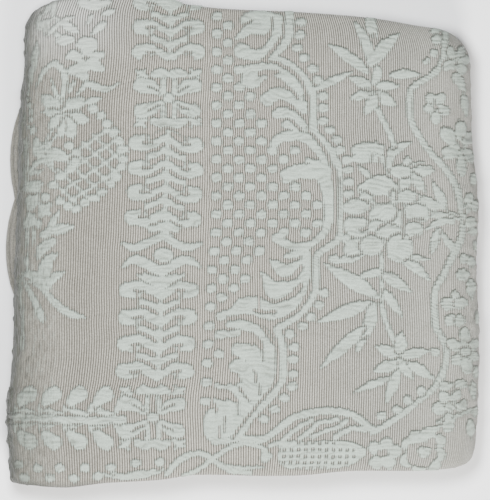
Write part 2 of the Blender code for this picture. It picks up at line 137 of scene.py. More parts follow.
# Wavers, of smooth noise: size, chart squares across and along to a cell, and seed
Waver = namedtuple("Waver", "size across along seed")
RIB_BEND, RIB_JITTER = Waver(0.22, 60.0, 18.0, 8), Waver(0.07, 9.0, 12.0, 9)
TOOTH_WAVER = Waver(0.95, 1.0, 5.0, 7)
PUCKER_BEND, PUCKER_JITTER, PUCKER_FADE = (
    Waver(1.25, 26.0, 12.0, 3), Waver(0.35, 9.0, 7.0, 4), Waver(0.9, 15.0, 6.0, 11))
CORD_BEND, CORD_FADE = Waver(1.3, 17.0, 11.0, 12), Waver(0.40, 11.0, 6.0, 13)
KNOBS, FOLD_KNOBS, SWAY = Waver(0.0011, 3.4, 6.5, 5), Waver(0.0006, 2.2, 11.0, 14), Waver(0.00012, 30.0, 24.0, 6)
NOISE_CELLS = (97, 89)

# Relief: rows to a pucker and to a cord's notch, furrow depths in metres, and the rest in chart squares
PUCKER_ROW, PUCKER_POWER, NOTCH_ROW, NOTCH_SLANT, NOTCH_POWER = 5.2, 0.9, 3.6, 0.09, 1.4
EDGE_START, EDGE_WIDE, DOME_START, DOME_WIDE, GROOVE_AT = 0.45, 1.9, 2.0, 7.0, 0.9
RISE_SHARE, DOME_SHARE, GROOVE_SHARE = 0.72, 0.45, 0.15
FURROW_DEPTH, BORDER_FURROW_DEPTH = 0.00085, 0.00035
FURROW_BITE, BORDER_BITE = 0.8, 1.1
# Where the relief fades under a turn: shares of the turn's length, to the middle and over which it fades
UNDER_NEAR, UNDER_FAR, UNDER_LEFT = (0.35, 0.5), (0.5, 0.5), (0.55, 0.4)
# Shade of cloth that turns down at the left: share, upward part of the normal where it starts, how fast it grows
TURN_SHADES = ((0.32, 0.985, 0.30), (0.38, 0.80, 0.5))

# Outline of a leaf and of a petal: share of the length, share of the half width
LEAF_OUTLINE = ((0.0, 0.35), (0.2, 0.85), (0.42, 1.0), (0.7, 0.72), (0.9, 0.32), (1.0, 0.1))
PETAL_OUTLINE = ((0.0, 0.3), (0.3, 0.62), (0.6, 0.92), (0.85, 0.92), (1.0, 0.6))
PETAL_BLUNTNESS = 0.6
# Leaves: foot column and row, tip column and row, half width at the belly
LEAVES = (
    # left spray
    (36.5, 28, 54, 18, 3.4), (105, 23, 91, 34.5, 3.6), (57, 41, 75, 38.5, 5.6), (114, 10, 101, 15, 3.2),
    (60, 21, 79.5, 33.5, 4.8), (60, 21, 75, 17, 2.4), (60, 22, 46, 36, 2.4), (59, 22, 53, 14, 2.2),
    (92, 15, 87, 25, 2.4), (98, 26, 96, 32, 2), (52, 16, 55, -6, 3.2), (45, 13, 51, 2, 2.6),
    (36, 24, 42, 12, 2.4), (40, 30, 38, 18, 3), (48, 24, 44, 34, 2.6), (75, 81, 68, 95, 2.4),
    (62, 114, 42, 95, 8), (61, 113, 42, 112, 4.6), (64, 111, 85, 99, 8), (85, 103, 102, 97.5, 3.6),
    (66, 115, 89, 121, 7.2), (66, 118, 73, 138, 7.4), (61, 118, 62, 137, 5.4), (60, 116, 49, 128, 5),
    (48, 152, 68, 158, 6.6), (44, 150, 52, 140, 3.4), (45, 156, 54, 168, 4), (31, 174, 43, 170, 2.6),
    (24, 189, 43, 183, 5.6), (26, 184, 41, 192, 4.4), (28, 209, 38.5, 194, 5), (44, 210, 39.5, 203, 3.2),
    (44, 210, 51, 203, 3.4), (44, 210, 50, 215, 3.2), (44, 210, 40, 218, 3.2), (25, 227, 35, 213, 4.8),
    (49, 229, 59.5, 211, 3.6), (50, 231, 74, 226.5, 5.4), (42, 236, 55, 228, 5),
    # top plant and cluster
    (316, 89, 353, 71, 4), (391, 75, 421, 74, 5), (370, 86, 349, 77, 5), (377, 86, 399, 86, 5),
    (372, 91, 351, 98.5, 5.6), (376, 93, 396, 106, 5.8), (376, 96, 365, 114, 6),
    # right-hand leaves
    (408, 173, 407, 157, 5.6), (408, 172, 424, 162, 5.8), (410, 172, 434, 169.5, 6.8), (411, 173, 425, 192, 6),
    (406, 174, 403, 193, 5.8), (409, 172, 389, 171, 6.8), (438, 230, 431, 255, 4.4), (400, 254, 430, 280, 6),
    (409, 256, 430, 260, 3), (382, 273, 411, 292, 6.2), (384, 290, 402, 317, 4.5), (381, 271, 358, 277, 4.4),
    (377, 296, 324, 264, 7.5), (368, 303, 318, 322, 7), (364, 327, 321, 367, 6.5), (397, 355, 376, 346, 6),
    (400, 353, 401, 332, 6.5), (402, 356, 431, 350, 5.5), (397, 363, 374, 371, 6), (399, 360, 413, 379, 5.4),
    (409, 363, 434, 379, 5.4), (388, 378, 354, 392, 4.2), (398, 370, 386, 403, 5.6),
    # bouquet heads
    (366, 150, 362, 141.5, 3.4), (376, 150, 375, 141.5, 3.4), (370, 177, 358, 166, 3.4),
    (361, 192, 374.5, 207, 5.6), (393, 190, 394.5, 207, 4.4), (363, 254, 334, 262.5, 5),
    # garland
    (444, 27, 430, 32, 3), (455, 74, 464.5, 89, 5), (464, 93, 466.5, 115, 3.8), (471, 281, 472, 299, 4.4),
    (470, 421, 471.5, 439, 4), (473, 383, 474, 399, 3.6), (414, 437, 442, 426, 4),
)
# Petals, from the flower's middle outwards: foot column and row, tip column and row, half width at the belly
PETALS = (
    # garland
    (456, 61, 448, 47, 4.4), (457, 60, 464, 46, 4.2), (456, 62, 443, 68, 5.4), (457, 63, 465, 72, 4.8),
    (458, 61, 471, 58, 4), (435.5, 107, 428, 93, 5.4), (435.5, 107, 443, 94, 5), (435.5, 107, 449, 113, 5.6),
    (435.5, 107, 436, 124, 5.4), (435.5, 107, 424, 109, 5), (460, 146, 442, 129, 7), (460, 145, 461, 120, 5.4),
    (461, 146, 474, 133, 5.4), (460, 148, 443, 155, 7.2), (462, 147, 475, 161, 5.4),
    (460, 150, 462.5, 176, 4.8), (455, 305, 455, 291, 3.6), (465, 351, 464.5, 327, 5),
    (465, 351, 447, 341, 5.6), (465, 351, 479, 340, 5), (465, 351, 453, 364, 5.2), (465, 351, 468, 374, 5.6),
    (465, 351, 480, 359, 4.6), (450, 407, 432.5, 409, 6.4), (450, 407, 467.5, 404, 5.6),
    (450, 407, 441, 391.5, 5), (450, 407, 459, 391, 5), (450, 410, 447, 432, 6),
    # foot
    (423.5, 452, 402, 441, 8), (423.5, 452, 412, 431, 7.2), (423.5, 452, 430, 426, 7.6),
    (423.5, 452, 445, 437, 7.8), (423.5, 452, 446, 455, 6.6), (423.5, 452, 438, 471, 7.6),
    (423.5, 452, 418, 475, 7.8), (423.5, 452, 400, 463, 7.8), (382.5, 454.5, 369.5, 443.5, 6.6),
    (382.5, 454.5, 388, 438, 7), (382.5, 454.5, 401, 449, 7), (382.5, 454.5, 393, 467, 7),
    (382.5, 454.5, 372, 467, 7),
)
# Ovals: column, row, half width, half height, and turn in degrees if any
OVALS = (
    (57, 34, 3, 2.6), (84, 3.5, 6.4, 5), (95, 4.5, 9, 6), (104.5, 3, 7, 3.6), (28, 98, 2.2, 2.4),
    (29.5, 105, 2.2, 2.4), (31, 112, 2.2, 2.4), (31, 119, 2.2, 2.4), (29, 127, 2.2, 2.4),
    (421, 390.5, 4.2, 4.6), (435, 352, 4.6, 4), (407.5, 400, 4.8, 4.6), (397, 409.5, 4.6, 4.4),
    (381.5, 415.5, 4.8, 4.4), (436.5, 39.5, 4.4, 5), (434, 52.5, 4, 4), (426.5, 61, 3.2, 3.2),
    # left fold
    (26, 148, 1.8, 8, 8), (33, 185, 9, 4.6, -10), (31, 201, 5.6, 6.4, 20), (30.5, 220, 5.4, 6.6),
    (27, 238, 1.9, 8, 5), (33.5, 236, 1.7, 7), (39, 224, 3, 4), (25, 172, 1.5, 6), (27, 262, 1.6, 8),
    (24, 120, 1.4, 7, 10), (33, 130, 3, 4), (29, 214, 2, 3),
    # bouquet heads
    (406.8, 198, 10.4, 8.2), (416, 213.5, 13.6, 10.4, 4), (413.5, 230, 10, 8.6), (396.5, 218.5, 9, 8.4),
    (381.5, 212, 15.4, 10.4), (356.5, 207, 13.8, 8.2, -4), (357, 226.5, 13, 10.6, 12), (377, 226, 9, 6),
    (389.5, 233, 13.2, 9.4), (355, 247, 11.6, 8.8, -22), (371, 245.5, 12.4, 10.4), (399, 247.5, 13.8, 14.4),
    # garland flowers
    (469, 199, 4, 5.4), (475, 205, 4.5, 5), (467, 209, 3.4, 4), (470, 222, 5.4, 5), (473, 231, 4.6, 4),
    (464, 259, 4, 4.4), (471.5, 262, 4.6, 5), (463, 275, 6.4, 5.6), (448.5, 304, 7.2, 5.6),
    (460, 303.5, 6.8, 5.6), (450.5, 320, 5.2, 5.4), (459.5, 321, 5, 5.8), (446, 386, 6.6, 4),
    (461, 384, 6, 3.8), (478, 245, 4, 6), (479, 318, 3.6, 6), (477, 372, 3.6, 5), (476, 412, 3.6, 5),
    (474, 178, 3.4, 5), (265, 457, 4.6, 5.6),
)
# Tapers: points with column, row and half width
TAPERS = (
    # scroll head
    ((246, 20, 5.5), (254, 20, 9.4), (265, 20, 9.4), (275, 22, 7.4)),
    ((237, 38, 2), (243, 34, 3.6), (250, 29, 5.4), (258, 27, 7.4), (266, 27, 8)),
    ((242, 50.5, 7.8), (250, 54.5, 5.8), (259, 54.5, 5.6), (267, 49.5, 5.6), (273, 42, 5.6), (277, 32, 5.6),
        (278, 18, 4.4)),
    ((289, 10, 4.2), (289.4, 32, 4.2), (285, 42, 4.2), (279, 49.5, 4), (272.5, 57, 3.4)),
    # lobes of the frame, upper half, tips to the left
    ((251, 79, 9.5), (258, 76, 9), (262, 70, 5)),
    ((248, 70, 5), (262, 67, 4), (275, 68.5, 5.5), (285, 75, 7.5), (294, 83, 7.5), (302, 93, 5.5),
        (305, 102, 3)),
    ((267, 99, 6.8), (278, 94, 6.5), (288, 97, 5.8), (298, 104, 5), (304, 110, 4)),
    ((278, 113.5, 5.8), (288, 113.5, 5.4), (298, 120, 4.5), (305, 129, 3)),
    ((274, 144, 3.8), (280, 138, 5), (290, 135.6, 5.2), (300, 135.8, 5.3), (310, 140, 5.5), (318, 148, 5.5),
        (324, 157, 5), (327, 167, 5.5)),
    ((285, 174, 4.6), (295, 172, 6.8), (310, 171, 7.5), (323, 173, 8)), ((286, 179.5, 4), (293, 176, 4.8)),
    ((286, 124.5, 3.9), (294, 127, 3.5), (303, 133, 1.6)), ((307, 160, 2), (314, 162, 3), (320, 167, 4)),
    ((277, 238, 5), (284, 243, 4.5), (295, 247, 3.5), (305, 246, 4), (315, 242, 4), (323, 235, 4.6),
        (328, 226, 5), (328.5, 205, 4.8), (327, 188, 6), (323, 176, 7)),
    # lobes of the frame, lower half
    ((306, 246, 4), (306, 262, 5.4), (306, 275, 5.4), (303, 288, 4.4)),
    ((286, 256, 2.4), (294, 254.5, 3), (303, 253, 3.5)),
    ((271.5, 260.5, 1.4), (277, 266, 4.8), (284, 269.5, 7.2), (292, 267.5, 6.8), (302, 264, 5)),
    ((261.5, 272, 1.2), (267, 280, 4), (274, 289.5, 8.6), (285, 288.5, 7.8), (294, 282, 5.4), (303, 275, 4)),
    ((223, 314, 3), (234, 311.5, 4.2), (244, 305.5, 8), (256, 306, 9), (270, 310, 9.5), (282, 308, 8.5),
        (292, 303, 6.5), (300, 294, 4.6), (305, 285, 4)),
    # big leaf below the frame
    ((229, 324.5, 3), (238, 324, 4.6), (250, 325.5, 5.6), (260, 331.5, 6), (267, 343, 7.4), (268, 357, 7.8),
        (268, 373, 7.6), (261, 389, 8.4), (252, 400, 9)),
    ((238, 350, 5.6), (239, 357, 6), (239, 367, 6.6), (245, 379, 6.4)),
    ((222, 333, 3), (230, 334.5, 2.8), (238, 332, 3)),
    ((262, 352, 12), (258, 368, 14), (252, 385, 14), (244, 400, 15), (234, 415, 16), (225, 424, 13),
        (217, 427, 11)),
    ((214.5, 399.5, 1.6), (220, 404, 4.4), (228, 408, 6.5), (235, 411, 8)),
    ((211, 412, 4), (209.5, 420, 5.4), (210, 431, 5.6), (216, 441, 4)), ((237, 348, 5), (248, 352, 8)),
    ((235, 367, 5.5), (246, 372, 9)), ((217, 385.5, 2.6), (228, 387, 3.4), (238, 391, 3.8), (246, 397, 6)),
    # bouquet: prong, calyx and heads
    ((366, 333, 4), (361, 342, 3.4), (358, 350, 2.2)),
    ((372, 305, 4), (371, 318, 6.2), (367, 329, 5.8), (360, 335, 4.4)),
    ((356, 150, 4.6), (368, 148.5, 6.4), (380.5, 149.5, 5.2)),
    ((354, 158.5, 3.4), (361, 158.5, 5), (368.5, 158.5, 4.4)),
    ((411, 142.5, 0.8), (403, 145.5, 3.6), (395, 150, 4.6), (389, 157, 4.6), (388, 166, 4), (389, 173, 1.6)),
    ((374, 158.5, 3.8), (383, 158.5, 4)),
    ((363, 190, 6), (371, 188, 8.6), (379.5, 185.5, 10.6), (386, 187.5, 9.2), (392, 190, 6.8)),
    ((416, 198.5, 4), (425, 201, 4.8), (436, 206, 4.4), (446, 211.5, 3.2), (460, 217.5, 1.4)),
    ((430, 214.5, 2.8), (440, 214.5, 3.8), (450, 216.5, 2.8), (460, 218, 1.4)),
    ((433, 181.5, 0.8), (436.5, 190, 3), (441, 198, 4), (445, 204, 1.6)),
    ((426.5, 229, 1.6), (437, 223.5, 3.2), (447, 219.8, 3), (453, 222, 1.8)),
    ((437, 228, 1.6), (444, 237, 2.4), (452, 247, 3), (455, 251, 1.2)),
    # top plant
    ((370.5, 19, 5), (371.5, 27, 5.4), (374, 35, 3.4), (375.5, 40, 1.2)),
    ((377, 66, 1.4), (377.5, 73, 4.2), (375, 82, 3.4)),
    ((355, 23, 1.2), (361, 32, 3.8), (366, 43, 4.8), (369, 53, 4.8), (370.5, 64, 3)),
    ((399, 34, 0.8), (392, 39.5, 4.2), (384, 47.5, 6.8), (376, 57, 5.4), (371.5, 64, 3)),
    ((330, 46, 1.2), (340, 51, 4.2), (350, 58, 5.2), (359, 65, 4.8), (367, 72, 2.2)),
    # cartouche
    ((290, 456, 12), (320, 455, 14), (345, 453, 13), (360, 452, 6)), ((283, 445, 4), (300, 450, 9)),
    # left flower
    ((79, 45, 3.4), (85, 44, 6.6), (91.5, 43, 5.6), (94.5, 48, 3)), ((88, 48, 6), (85.5, 57, 4)),
    ((68, 57, 2.6), (74, 55.5, 5), (82, 59, 4.6)), ((87, 58, 4), (95, 57, 4.8), (101.5, 55, 3.2)),
    ((86, 61, 5), (95, 65, 5.6), (102, 68.5, 2.8)), ((69.5, 71.5, 3), (76, 70, 6), (84, 66, 6.6)),
    ((80, 70, 6.6), (84, 76, 4.4), (86, 81, 1.4)),
    # left spray: plants, falling leaf and long stem
    ((77, 94, 1.2), (82, 89, 2.2), (87, 84.5, 3), (94, 86, 3.6), (101, 88, 3.2), (108, 89.5, 2.4),
        (114, 86.5, 1.6), (119, 83, 0.8)),
    ((36.7, 86.5, 0.8), (41, 76, 1.7), (47, 68, 2.2), (53, 63.4, 2.7), (59, 66, 3), (63.5, 73, 3),
        (65, 83, 2.8), (62, 101, 2.2)),
    ((51.5, 80, 1), (55, 91, 1.8), (60, 101, 1.8)),
    ((37, 42, 1), (35.5, 54, 3.2), (33, 66, 2.8), (30, 80, 1.8), (28, 97, 0.8)),
    ((36, 141, 3), (38, 150, 5.4), (42, 159, 4)),
    ((30, 174, 1.1), (33, 166, 1.9), (39, 162, 2.3), (46, 162, 2.1), (51, 167, 1.7), (55, 172, 0.9)),
    ((56, 240, 0.9), (50, 243, 4.4), (43, 248, 5), (38, 256, 3)),
    ((58.5, 254.3, 0.8), (52, 256.5, 3.6), (47, 263, 6), (44.5, 271, 6), (43, 279, 5)),
    ((23.5, 273, 1.8), (30, 274.5, 4.4), (38, 279, 5.4), (43, 285, 3.4)),
    ((64, 273.2, 0.8), (57, 275.5, 3.4), (50.5, 281, 4), (46.5, 290, 2.4)),
    ((28, 282, 0.9), (37, 285.5, 1.6), (44.5, 290, 2.4), (49.5, 297.5, 3), (60, 307, 3.6), (72, 314.5, 3.6),
        (86, 317.3, 1)),
    ((21, 277, 1.4), (28, 289, 2.2), (35, 302, 3), (40, 313, 3.8), (42, 319, 3)),
    # wings and lens between the two laurels
    ((154, 255, 1.0), (163.5, 255, 7.3), (173, 255, 1.0)),
    ((122.5, 267, 1.2), (130, 261.5, 3.2), (137, 259.8, 4.6), (146, 263.5, 5), (155, 268.5, 4.8),
        (162.5, 271, 4.4)),
    ((199.5, 267, 1.2), (192, 261.5, 3.6), (185, 260, 4.6), (177, 262.8, 4.8), (169, 267.8, 4.6),
        (163, 271, 4.4)),
    ((139, 275.5, 1.6), (146, 278, 2.8), (152, 281, 3.4), (158, 285, 3.6), (162, 287, 3)),
    ((184, 275, 1.4), (178, 277, 2.4), (171, 280, 3.1), (166, 284, 3.4), (162, 287, 3)),
    ((123, 243, 1.5), (132, 247.5, 3.8), (140, 246, 4), (148, 242.5, 4), (156, 239, 4), (163, 235.5, 4)),
    ((200, 244, 2), (192, 247, 3.4), (184, 247, 4), (176, 243.5, 4), (168, 239, 4), (164, 236, 3)),
    ((7, 417, 2.8), (30, 417.8, 3.8), (60, 419.6, 4), (98, 420.6, 4), (123, 419.5, 3.6)),
    ((112, 472, 0.8), (122, 476, 2.4), (140, 475, 4), (155, 472, 3)),
)
# Lines: half width, then points
LINES = (
    (3.7, ((272, 58), (282, 61), (290, 65.5), (298, 72), (304, 79), (309, 86.5), (312.5, 94), (313, 106),
        (313.3, 129), (320, 138), (328, 147), (333, 156), (337.5, 165))),
    (2.5, ((337.5, 164), (340, 175), (340, 236))),
    (3.2, ((340, 234), (337, 241), (330, 246), (322, 250.5), (317, 256), (316, 262), (316, 288), (312.5, 297),
        (308.5, 304.5), (303, 311.5), (296.5, 316.5), (290, 321), (283, 325), (277, 329))),
    (3.3, ((277, 329), (280, 337), (282.6, 345), (283, 352), (283, 376), (280, 384), (275, 391.5), (269, 399),
        (262.5, 405.5), (256, 412), (250, 418.5), (245, 427), (238, 436), (228, 440), (214, 440))),
    (3.5, ((236, 438.5), (250, 439), (262, 439.5), (272, 434), (282, 426), (293, 418), (305, 414), (320, 411),
        (335, 410.5), (348, 413), (358, 418), (368, 426), (375, 431))),
    # garland
    (3.0, ((445.5, 29), (445, 42), (444, 56), (439, 68), (428, 77.5), (414, 86), (410, 95), (410, 117),
        (414.5, 128), (422, 141), (431.5, 154), (443, 166), (451, 177), (457, 189), (460.5, 203), (463, 216),
        (461.5, 236), (456.5, 249), (449, 263), (443, 276), (436.5, 286), (434, 299), (435, 324), (440, 335),
        (446, 346), (446, 361), (441, 377), (430, 392), (413, 405), (401, 415), (387, 424), (372, 432))),
    # feathers of the foot
    (2.2, ((270, 446), (282, 441), (292, 432), (302, 425), (312, 420))),
    (2.4, ((300, 438), (310, 431), (318, 423), (330, 421), (337, 419))),
    (2.2, ((312, 437), (325, 431), (338, 427), (346, 420))),
    (2.6, ((335, 437), (345, 431), (355, 428), (365, 430))),
    # crossing scrolls
    (2.8, ((167, 474), (178, 461), (194, 453.5), (208, 456), (219, 464), (230, 470), (250, 473))),
    (2.3, ((183, 476), (199, 469), (213, 458.5), (228, 448), (240, 444), (250, 444), (262, 448), (270, 456))),
    (1.6, ((104, 474), (122, 478), (143, 476), (163, 470))), (1.5, ((228, 466), (245, 468), (262, 467))),
    (1.9, ((438, 422), (452, 417.5), (471, 410.5))),
    # bouquet stems
    (2.5, ((377, 109), (384, 122), (391, 137), (394, 146))), (1.9, ((381.5, 250), (381.5, 275), (381.5, 304))),
    (2.3, ((381, 304), (386, 322), (391, 334), (396, 345))), (2.6, ((404, 262), (398, 256), (392, 248))),
    # left spray
    (1.2, ((45, 150), (51, 142), (57, 134))), (1.1, ((43, 145), (48, 137), (52, 130))),
    (1.1, ((24.5, 140), (27, 155), (27, 175), (25, 190))),
    (1.4, ((19, 280), (21, 300), (22.5, 322), (22, 348))),
)
# Beads and edge dots of the trellis: column, row
BEADS = (
    (301, 22), (300, 35), (297, 48), (304, 58), (313, 69), (318, 80), (323, 96), (323, 108), (323, 121),
    (330, 130), (337, 139.5), (340, 150), (347, 160), (348, 170), (348.5, 182), (348.5, 194), (345, 238),
    (334, 259), (324, 293), (319, 305), (311, 317), (303, 326), (290, 334), (294, 347), (293, 359), (293, 374),
    (292, 386), (284.5, 398), (274.5, 409), (264, 419), (422.5, 451), (425.8, 451), (424, 454), (465, 351),
    (450, 407),
)
TRELLIS_DOTS = (
    (93, 109), (101, 115.5), (107.5, 123.5), (115, 131.7), (119, 141), (121.7, 149.5), (123.5, 159),
    (121.5, 167), (116, 176.7), (110.8, 183.3), (102.5, 192.5), (95, 198.3), (85, 202.5), (76, 209),
    (68, 205.8), (60, 200.8), (53, 185), (60.3, 176.7), (70, 169), (75, 161.7), (77.5, 152.5), (69, 146),
    (45, 197), (44, 209), (18, 465), (38, 468), (60, 468), (85, 468), (111, 467.5), (136, 463), (160, 462),
    (24, 478), (50, 478), (74, 478.5), (98, 476),
)
# Boxes in which a figure keeps a seam where it crosses another: left, top, right, bottom
SEAM_BOXES = (
    (345, 60, 440, 134), (345, 189, 440, 264), (400, 134, 440, 189), (346, 264, 440, 405), (20, 88, 92, 140),
    (441, 40, 490, 440), (0, 405, 126, 432),
)
# Ribbed gaps cut into the raised figures
CUT_TAPERS = (
    ((249.5, 42, 3.4), (256, 44.5, 5.2), (262.5, 41.5, 4.2), (268, 36, 2.8), (271.3, 28, 1.3),
        (272.3, 17, 1.1)),
    ((234, 41.5, 1.0), (242, 40.5, 1.3), (249, 38.5, 2.0)),
    ((240, 25.5, 1.2), (246, 23.8, 1.6), (252, 20.5, 1)), ((260, 74, 2.2), (266, 73, 2.8), (278, 72, 1.9)),
    ((262, 92, 3), (265, 86, 5), (270, 82, 4.4), (279, 81, 3.2), (286, 86, 1.7), (292, 91, 1.7),
        (298, 99, 1.4)),
    ((272, 108, 3), (277, 104, 3.2), (283, 103.5, 3.4), (290, 106.5, 2.4), (296, 110.5, 1.9), (303, 116, 1.2)),
    ((280, 119.5, 1.5), (290, 119.5, 1.3), (294, 123, 1.7), (298, 127, 1.7), (302, 131, 1.3)),
    ((310, 133, 1.2), (316, 138, 1.6), (322, 146, 1.8), (326, 153, 1.8), (329, 160, 1.8), (332, 168, 1.6),
        (335, 177, 1.7), (335.2, 216, 1.7), (334, 223, 1)),
    ((332, 224, 1.2), (331, 231, 1.8), (326, 239, 1.8), (320, 244, 1.8), (314, 248, 1.8), (310, 250, 1)),
    ((281, 261, 1.8), (288, 262, 1.9), (295, 259.5, 1.7), (300, 257, 1.5)),
    ((270, 272, 2.2), (276, 277.5, 2), (282, 280, 1.5), (289, 279, 2), (294, 276, 3), (299, 271, 3.2),
        (301.5, 267, 2.4)),
    ((262, 294, 2.6), (266, 297, 2.6), (271, 301.5, 1.5), (280, 301, 1.5), (286, 298.5, 2), (292, 295, 2.8),
        (297, 290, 3), (301, 285, 2.5)),
    ((240, 316, 1.6), (246, 319, 1.7), (252, 320.5, 1.8), (258, 322.5, 2.2), (264, 323, 2.4), (272, 322.5, 2.2),
        (280, 320, 2), (287, 317, 2), (293, 313, 2), (299, 308, 1.9), (303, 302, 1.9), (306, 296, 1.7),
        (308.5, 288, 1.2), (309, 281, 1)),
    ((261, 325, 2), (266, 331, 2), (270, 337, 2), (273.4, 343, 1.7), (276.6, 350, 1.2), (276.8, 378, 1.2),
        (275.6, 383, 1.4), (269, 391, 1.5), (262, 399, 1.5), (253, 410, 1.5), (244.4, 420.4, 1.5),
        (239, 428, 1.6), (233, 438, 1.5)),
    ((236, 341, 2.2), (243, 339, 2.8), (249, 338, 6), (254, 338, 4.4), (259, 343, 3.6), (262, 348, 2)),
    ((228, 358, 3.4), (234, 357.5, 2.8), (239, 358, 1.5)), ((229, 373, 2.4), (238.5, 374.2, 1.1)),
    ((224, 380, 5), (231, 376, 5), (238, 380, 3.4)),
    ((217, 392.5, 3.6), (225, 393.5, 4.4), (232, 397, 4), (238, 402, 1.6)),
    # lines and cores of the bouquet
    ((385.4, 141, 1.2), (385.4, 170, 1.2)), ((371.5, 154, 1.2), (371.5, 168, 1.2)),
    ((379, 158, 1.2), (379, 172, 1.2)), ((377, 200.5, 3), (382.5, 199, 4.4), (388, 200.5, 3)),
    ((402.6, 203, 1.5), (403.4, 221, 1.7), (402.6, 238, 1.4)),
    ((346, 216, 1.4), (356, 216.5, 1.4), (367, 214.5, 2.4)), ((366, 229, 2.2), (359, 230, 1.2)),
    ((371, 234.6, 1), (388, 238.5, 1)), ((386.2, 238, 1.2), (386.2, 262, 1.2)),
    ((405, 219.4, 1), (424, 219.4, 1.2)), ((373.5, 33, 1), (374.5, 40, 2.2), (374, 48, 1.6)),
    ((420, 236, 1.6), (410, 238.5, 1.4)), ((349, 90, 1.2), (362, 89.5, 1), (374, 90, 0.9)),
    # flowers
    ((379.5, 453.5, 3.2), (385, 453, 3.2)), ((411, 449, 4.6), (413.5, 457.5, 7)),
    ((413.5, 457.5, 7), (424, 460.5, 6.6), (432, 455, 6.2)),
    ((417, 449, 5.6), (429, 448, 6.6), (433, 440.5, 3.6)), ((464.8, 351, 6.6), (465.2, 351, 6.6)),
    ((449.8, 407, 6.2), (450.2, 407, 6.2)), ((435.3, 107, 2.4), (435.7, 107, 2.4)),
    ((460.5, 147, 2.2), (462.5, 147.6, 2.2)), ((82.5, 58.5, 1), (88.5, 57.5, 1)),
    ((85.5, 55.5, 1), (85.5, 60.5, 1)), ((69, 64, 1.8), (77, 62.4, 0.9)), ((99.5, 61, 1.2), (104, 61.6, 1.8)),
    ((77, 50.5, 1.2), (82, 53.5, 0.8)), ((455.5, 60, 1.2), (457.5, 63, 1.2)),
    ((443, 312.4, 1.3), (466, 312.4, 1.3)), ((66, 112.6, 0.9), (84, 111.3, 0.9)),
    ((63, 98, 1.2), (64.5, 107, 0.9)), ((36.4, 238, 1), (36.4, 266, 1)),
)
CUT_LINES = (
    (1.2, ((282.8, 12), (283.4, 24), (283.4, 34))),
    (2.1, ((282.5, 36), (280, 40), (277.5, 44), (275, 47), (272.5, 50.5), (270, 53), (267.5, 57), (264, 60))),
    (1.4, ((240, 62), (250, 62), (262, 61.5), (270, 62), (277, 62.5))),
    (2.0, ((278, 62.5), (283, 66), (290, 70.5), (297, 76), (302, 83), (305, 91), (306, 99))),
    (1.2, ((308.5, 96), (308.5, 131))), (1.5, ((259, 285), (259, 312))), (1.2, ((338.2, 177), (338.2, 217))),
    (1.9, ((254, 309.5), (262, 311.5), (275, 312))), (1.2, ((311.6, 250), (311.6, 283))),
    (1.2, ((253.5, 370), (256, 375), (256, 381))), (1.2, ((263, 351), (263, 360))),
    (1.2, ((259, 383), (259.5, 394))), (1.2, ((239, 387), (242, 392), (246, 396), (249, 400))),
    (1.2, ((237.6, 404), (238, 414))), (1.2, ((225, 416), (225, 431))), (1.2, ((219.6, 426), (219.6, 438))),
)
# Short dashes woven on the cartouche: row, first and last column
CARTOUCHE_DASHES = (
    (442.7, 297, 337), (449.5, 282, 353), (456.2, 281, 355), (462.6, 282, 350), (468.6, 296, 331),
)
DASH_RIBS, DASH_RIB_PITCH, DASH_WIDE, DASH_HIGH = 3, 2.27, 1.65, 1.5

# Laurel: stem column by row, filled stretches (top, bottom, half width), and the rows of its leaf pairs
LAUREL_STEM = (
    (0, 171), (70, 170.6), (131, 168.5), (164, 168), (190, 167), (215, 165.8), (254, 162.5), (300, 161),
    (320, 160), (345, 158.7), (365, 157.5), (390, 156.5),
)
LAUREL_FILLS = ((-12, 40, 20), (150, 218, 20), (286, 360, 21))
FILL_SHIFT, FILL_POINTS = -1.4, 8
LAUREL_DOWN = (2.5, 27, 52, 290, 317, 344, 371)
LAUREL_UP = (143, 168, 192.5, 217.5)
UPPER_DROP = 2.0
LAUREL_LOBE = ((-34.5, 0, 7.3), (-27, -0.2, 8.2), (-18, -0.8, 8.2))
LAUREL_WIDTH = ((0, 0.88), (52, 0.90), (168, 0.94), (290, 1.0), (380, 0.99))
LAUREL_CUTS = (
    ((-24, 1.0, 1.2), (-24, 16.5, 1.2)), ((-27, 0.3, 1.4), (-17, 0.6, 1.4)), ((-22, 7.6, 0.9), (-19, 7.6, 0.9)),
    ((-16.5, 5.8, 3.6), (-10, 8.4, 3.0), (-4.4, 11, 2.6)),
    ((-22.5, 15.2, 1.4), (-16, 17.2, 2.0), (-10, 19.8, 2.0), (-4.4, 23.6, 2.2)),
)
RIGHT_SHARE = 0.86
LAUREL_END_CUTS = (
    ((146.5, 60, 5.2), (153, 61.8, 4.8), (160, 65.5, 2.8)), ((177, 66, 2.8), (183, 62, 4.8), (190, 60, 5.2)),
    ((150, 225.5, 1.3), (157, 222.8, 1.3), (163, 220.2, 1.3)),
    ((170, 220.5, 1.3), (177, 224.5, 1.5), (184, 228, 1.3)),
    ((140, 234.5, 3.0), (152, 234, 2.0), (162, 232.5, 1.5)),
    ((171, 233, 1.5), (180, 235, 2.1), (190, 236, 3.2)), ((128, 234, 7), (138, 234, 5.5)),
    ((190, 235, 5), (198, 235, 6)), ((139, 269.5, 3.0), (146, 270.6, 2.6), (152, 273, 2.1), (159, 275, 1.2)),
    ((166, 275, 1.2), (172, 272, 2.6), (180, 270, 3.0)),
    ((138.5, 277.8, 1.3), (146.5, 281, 1.4), (158.4, 287, 1.6)),
    ((165.6, 287.4, 1.3), (173, 282.8, 1.4), (181, 278.5, 1.5)), ((128, 274, 8), (134, 272, 6)),
    ((190, 273, 6), (196, 276, 8)),
)
CROSS_LAUREL_ROW = 418.0
CROSS_LAUREL_LOBES = (6, 31, 55.5, 81, 107.5)
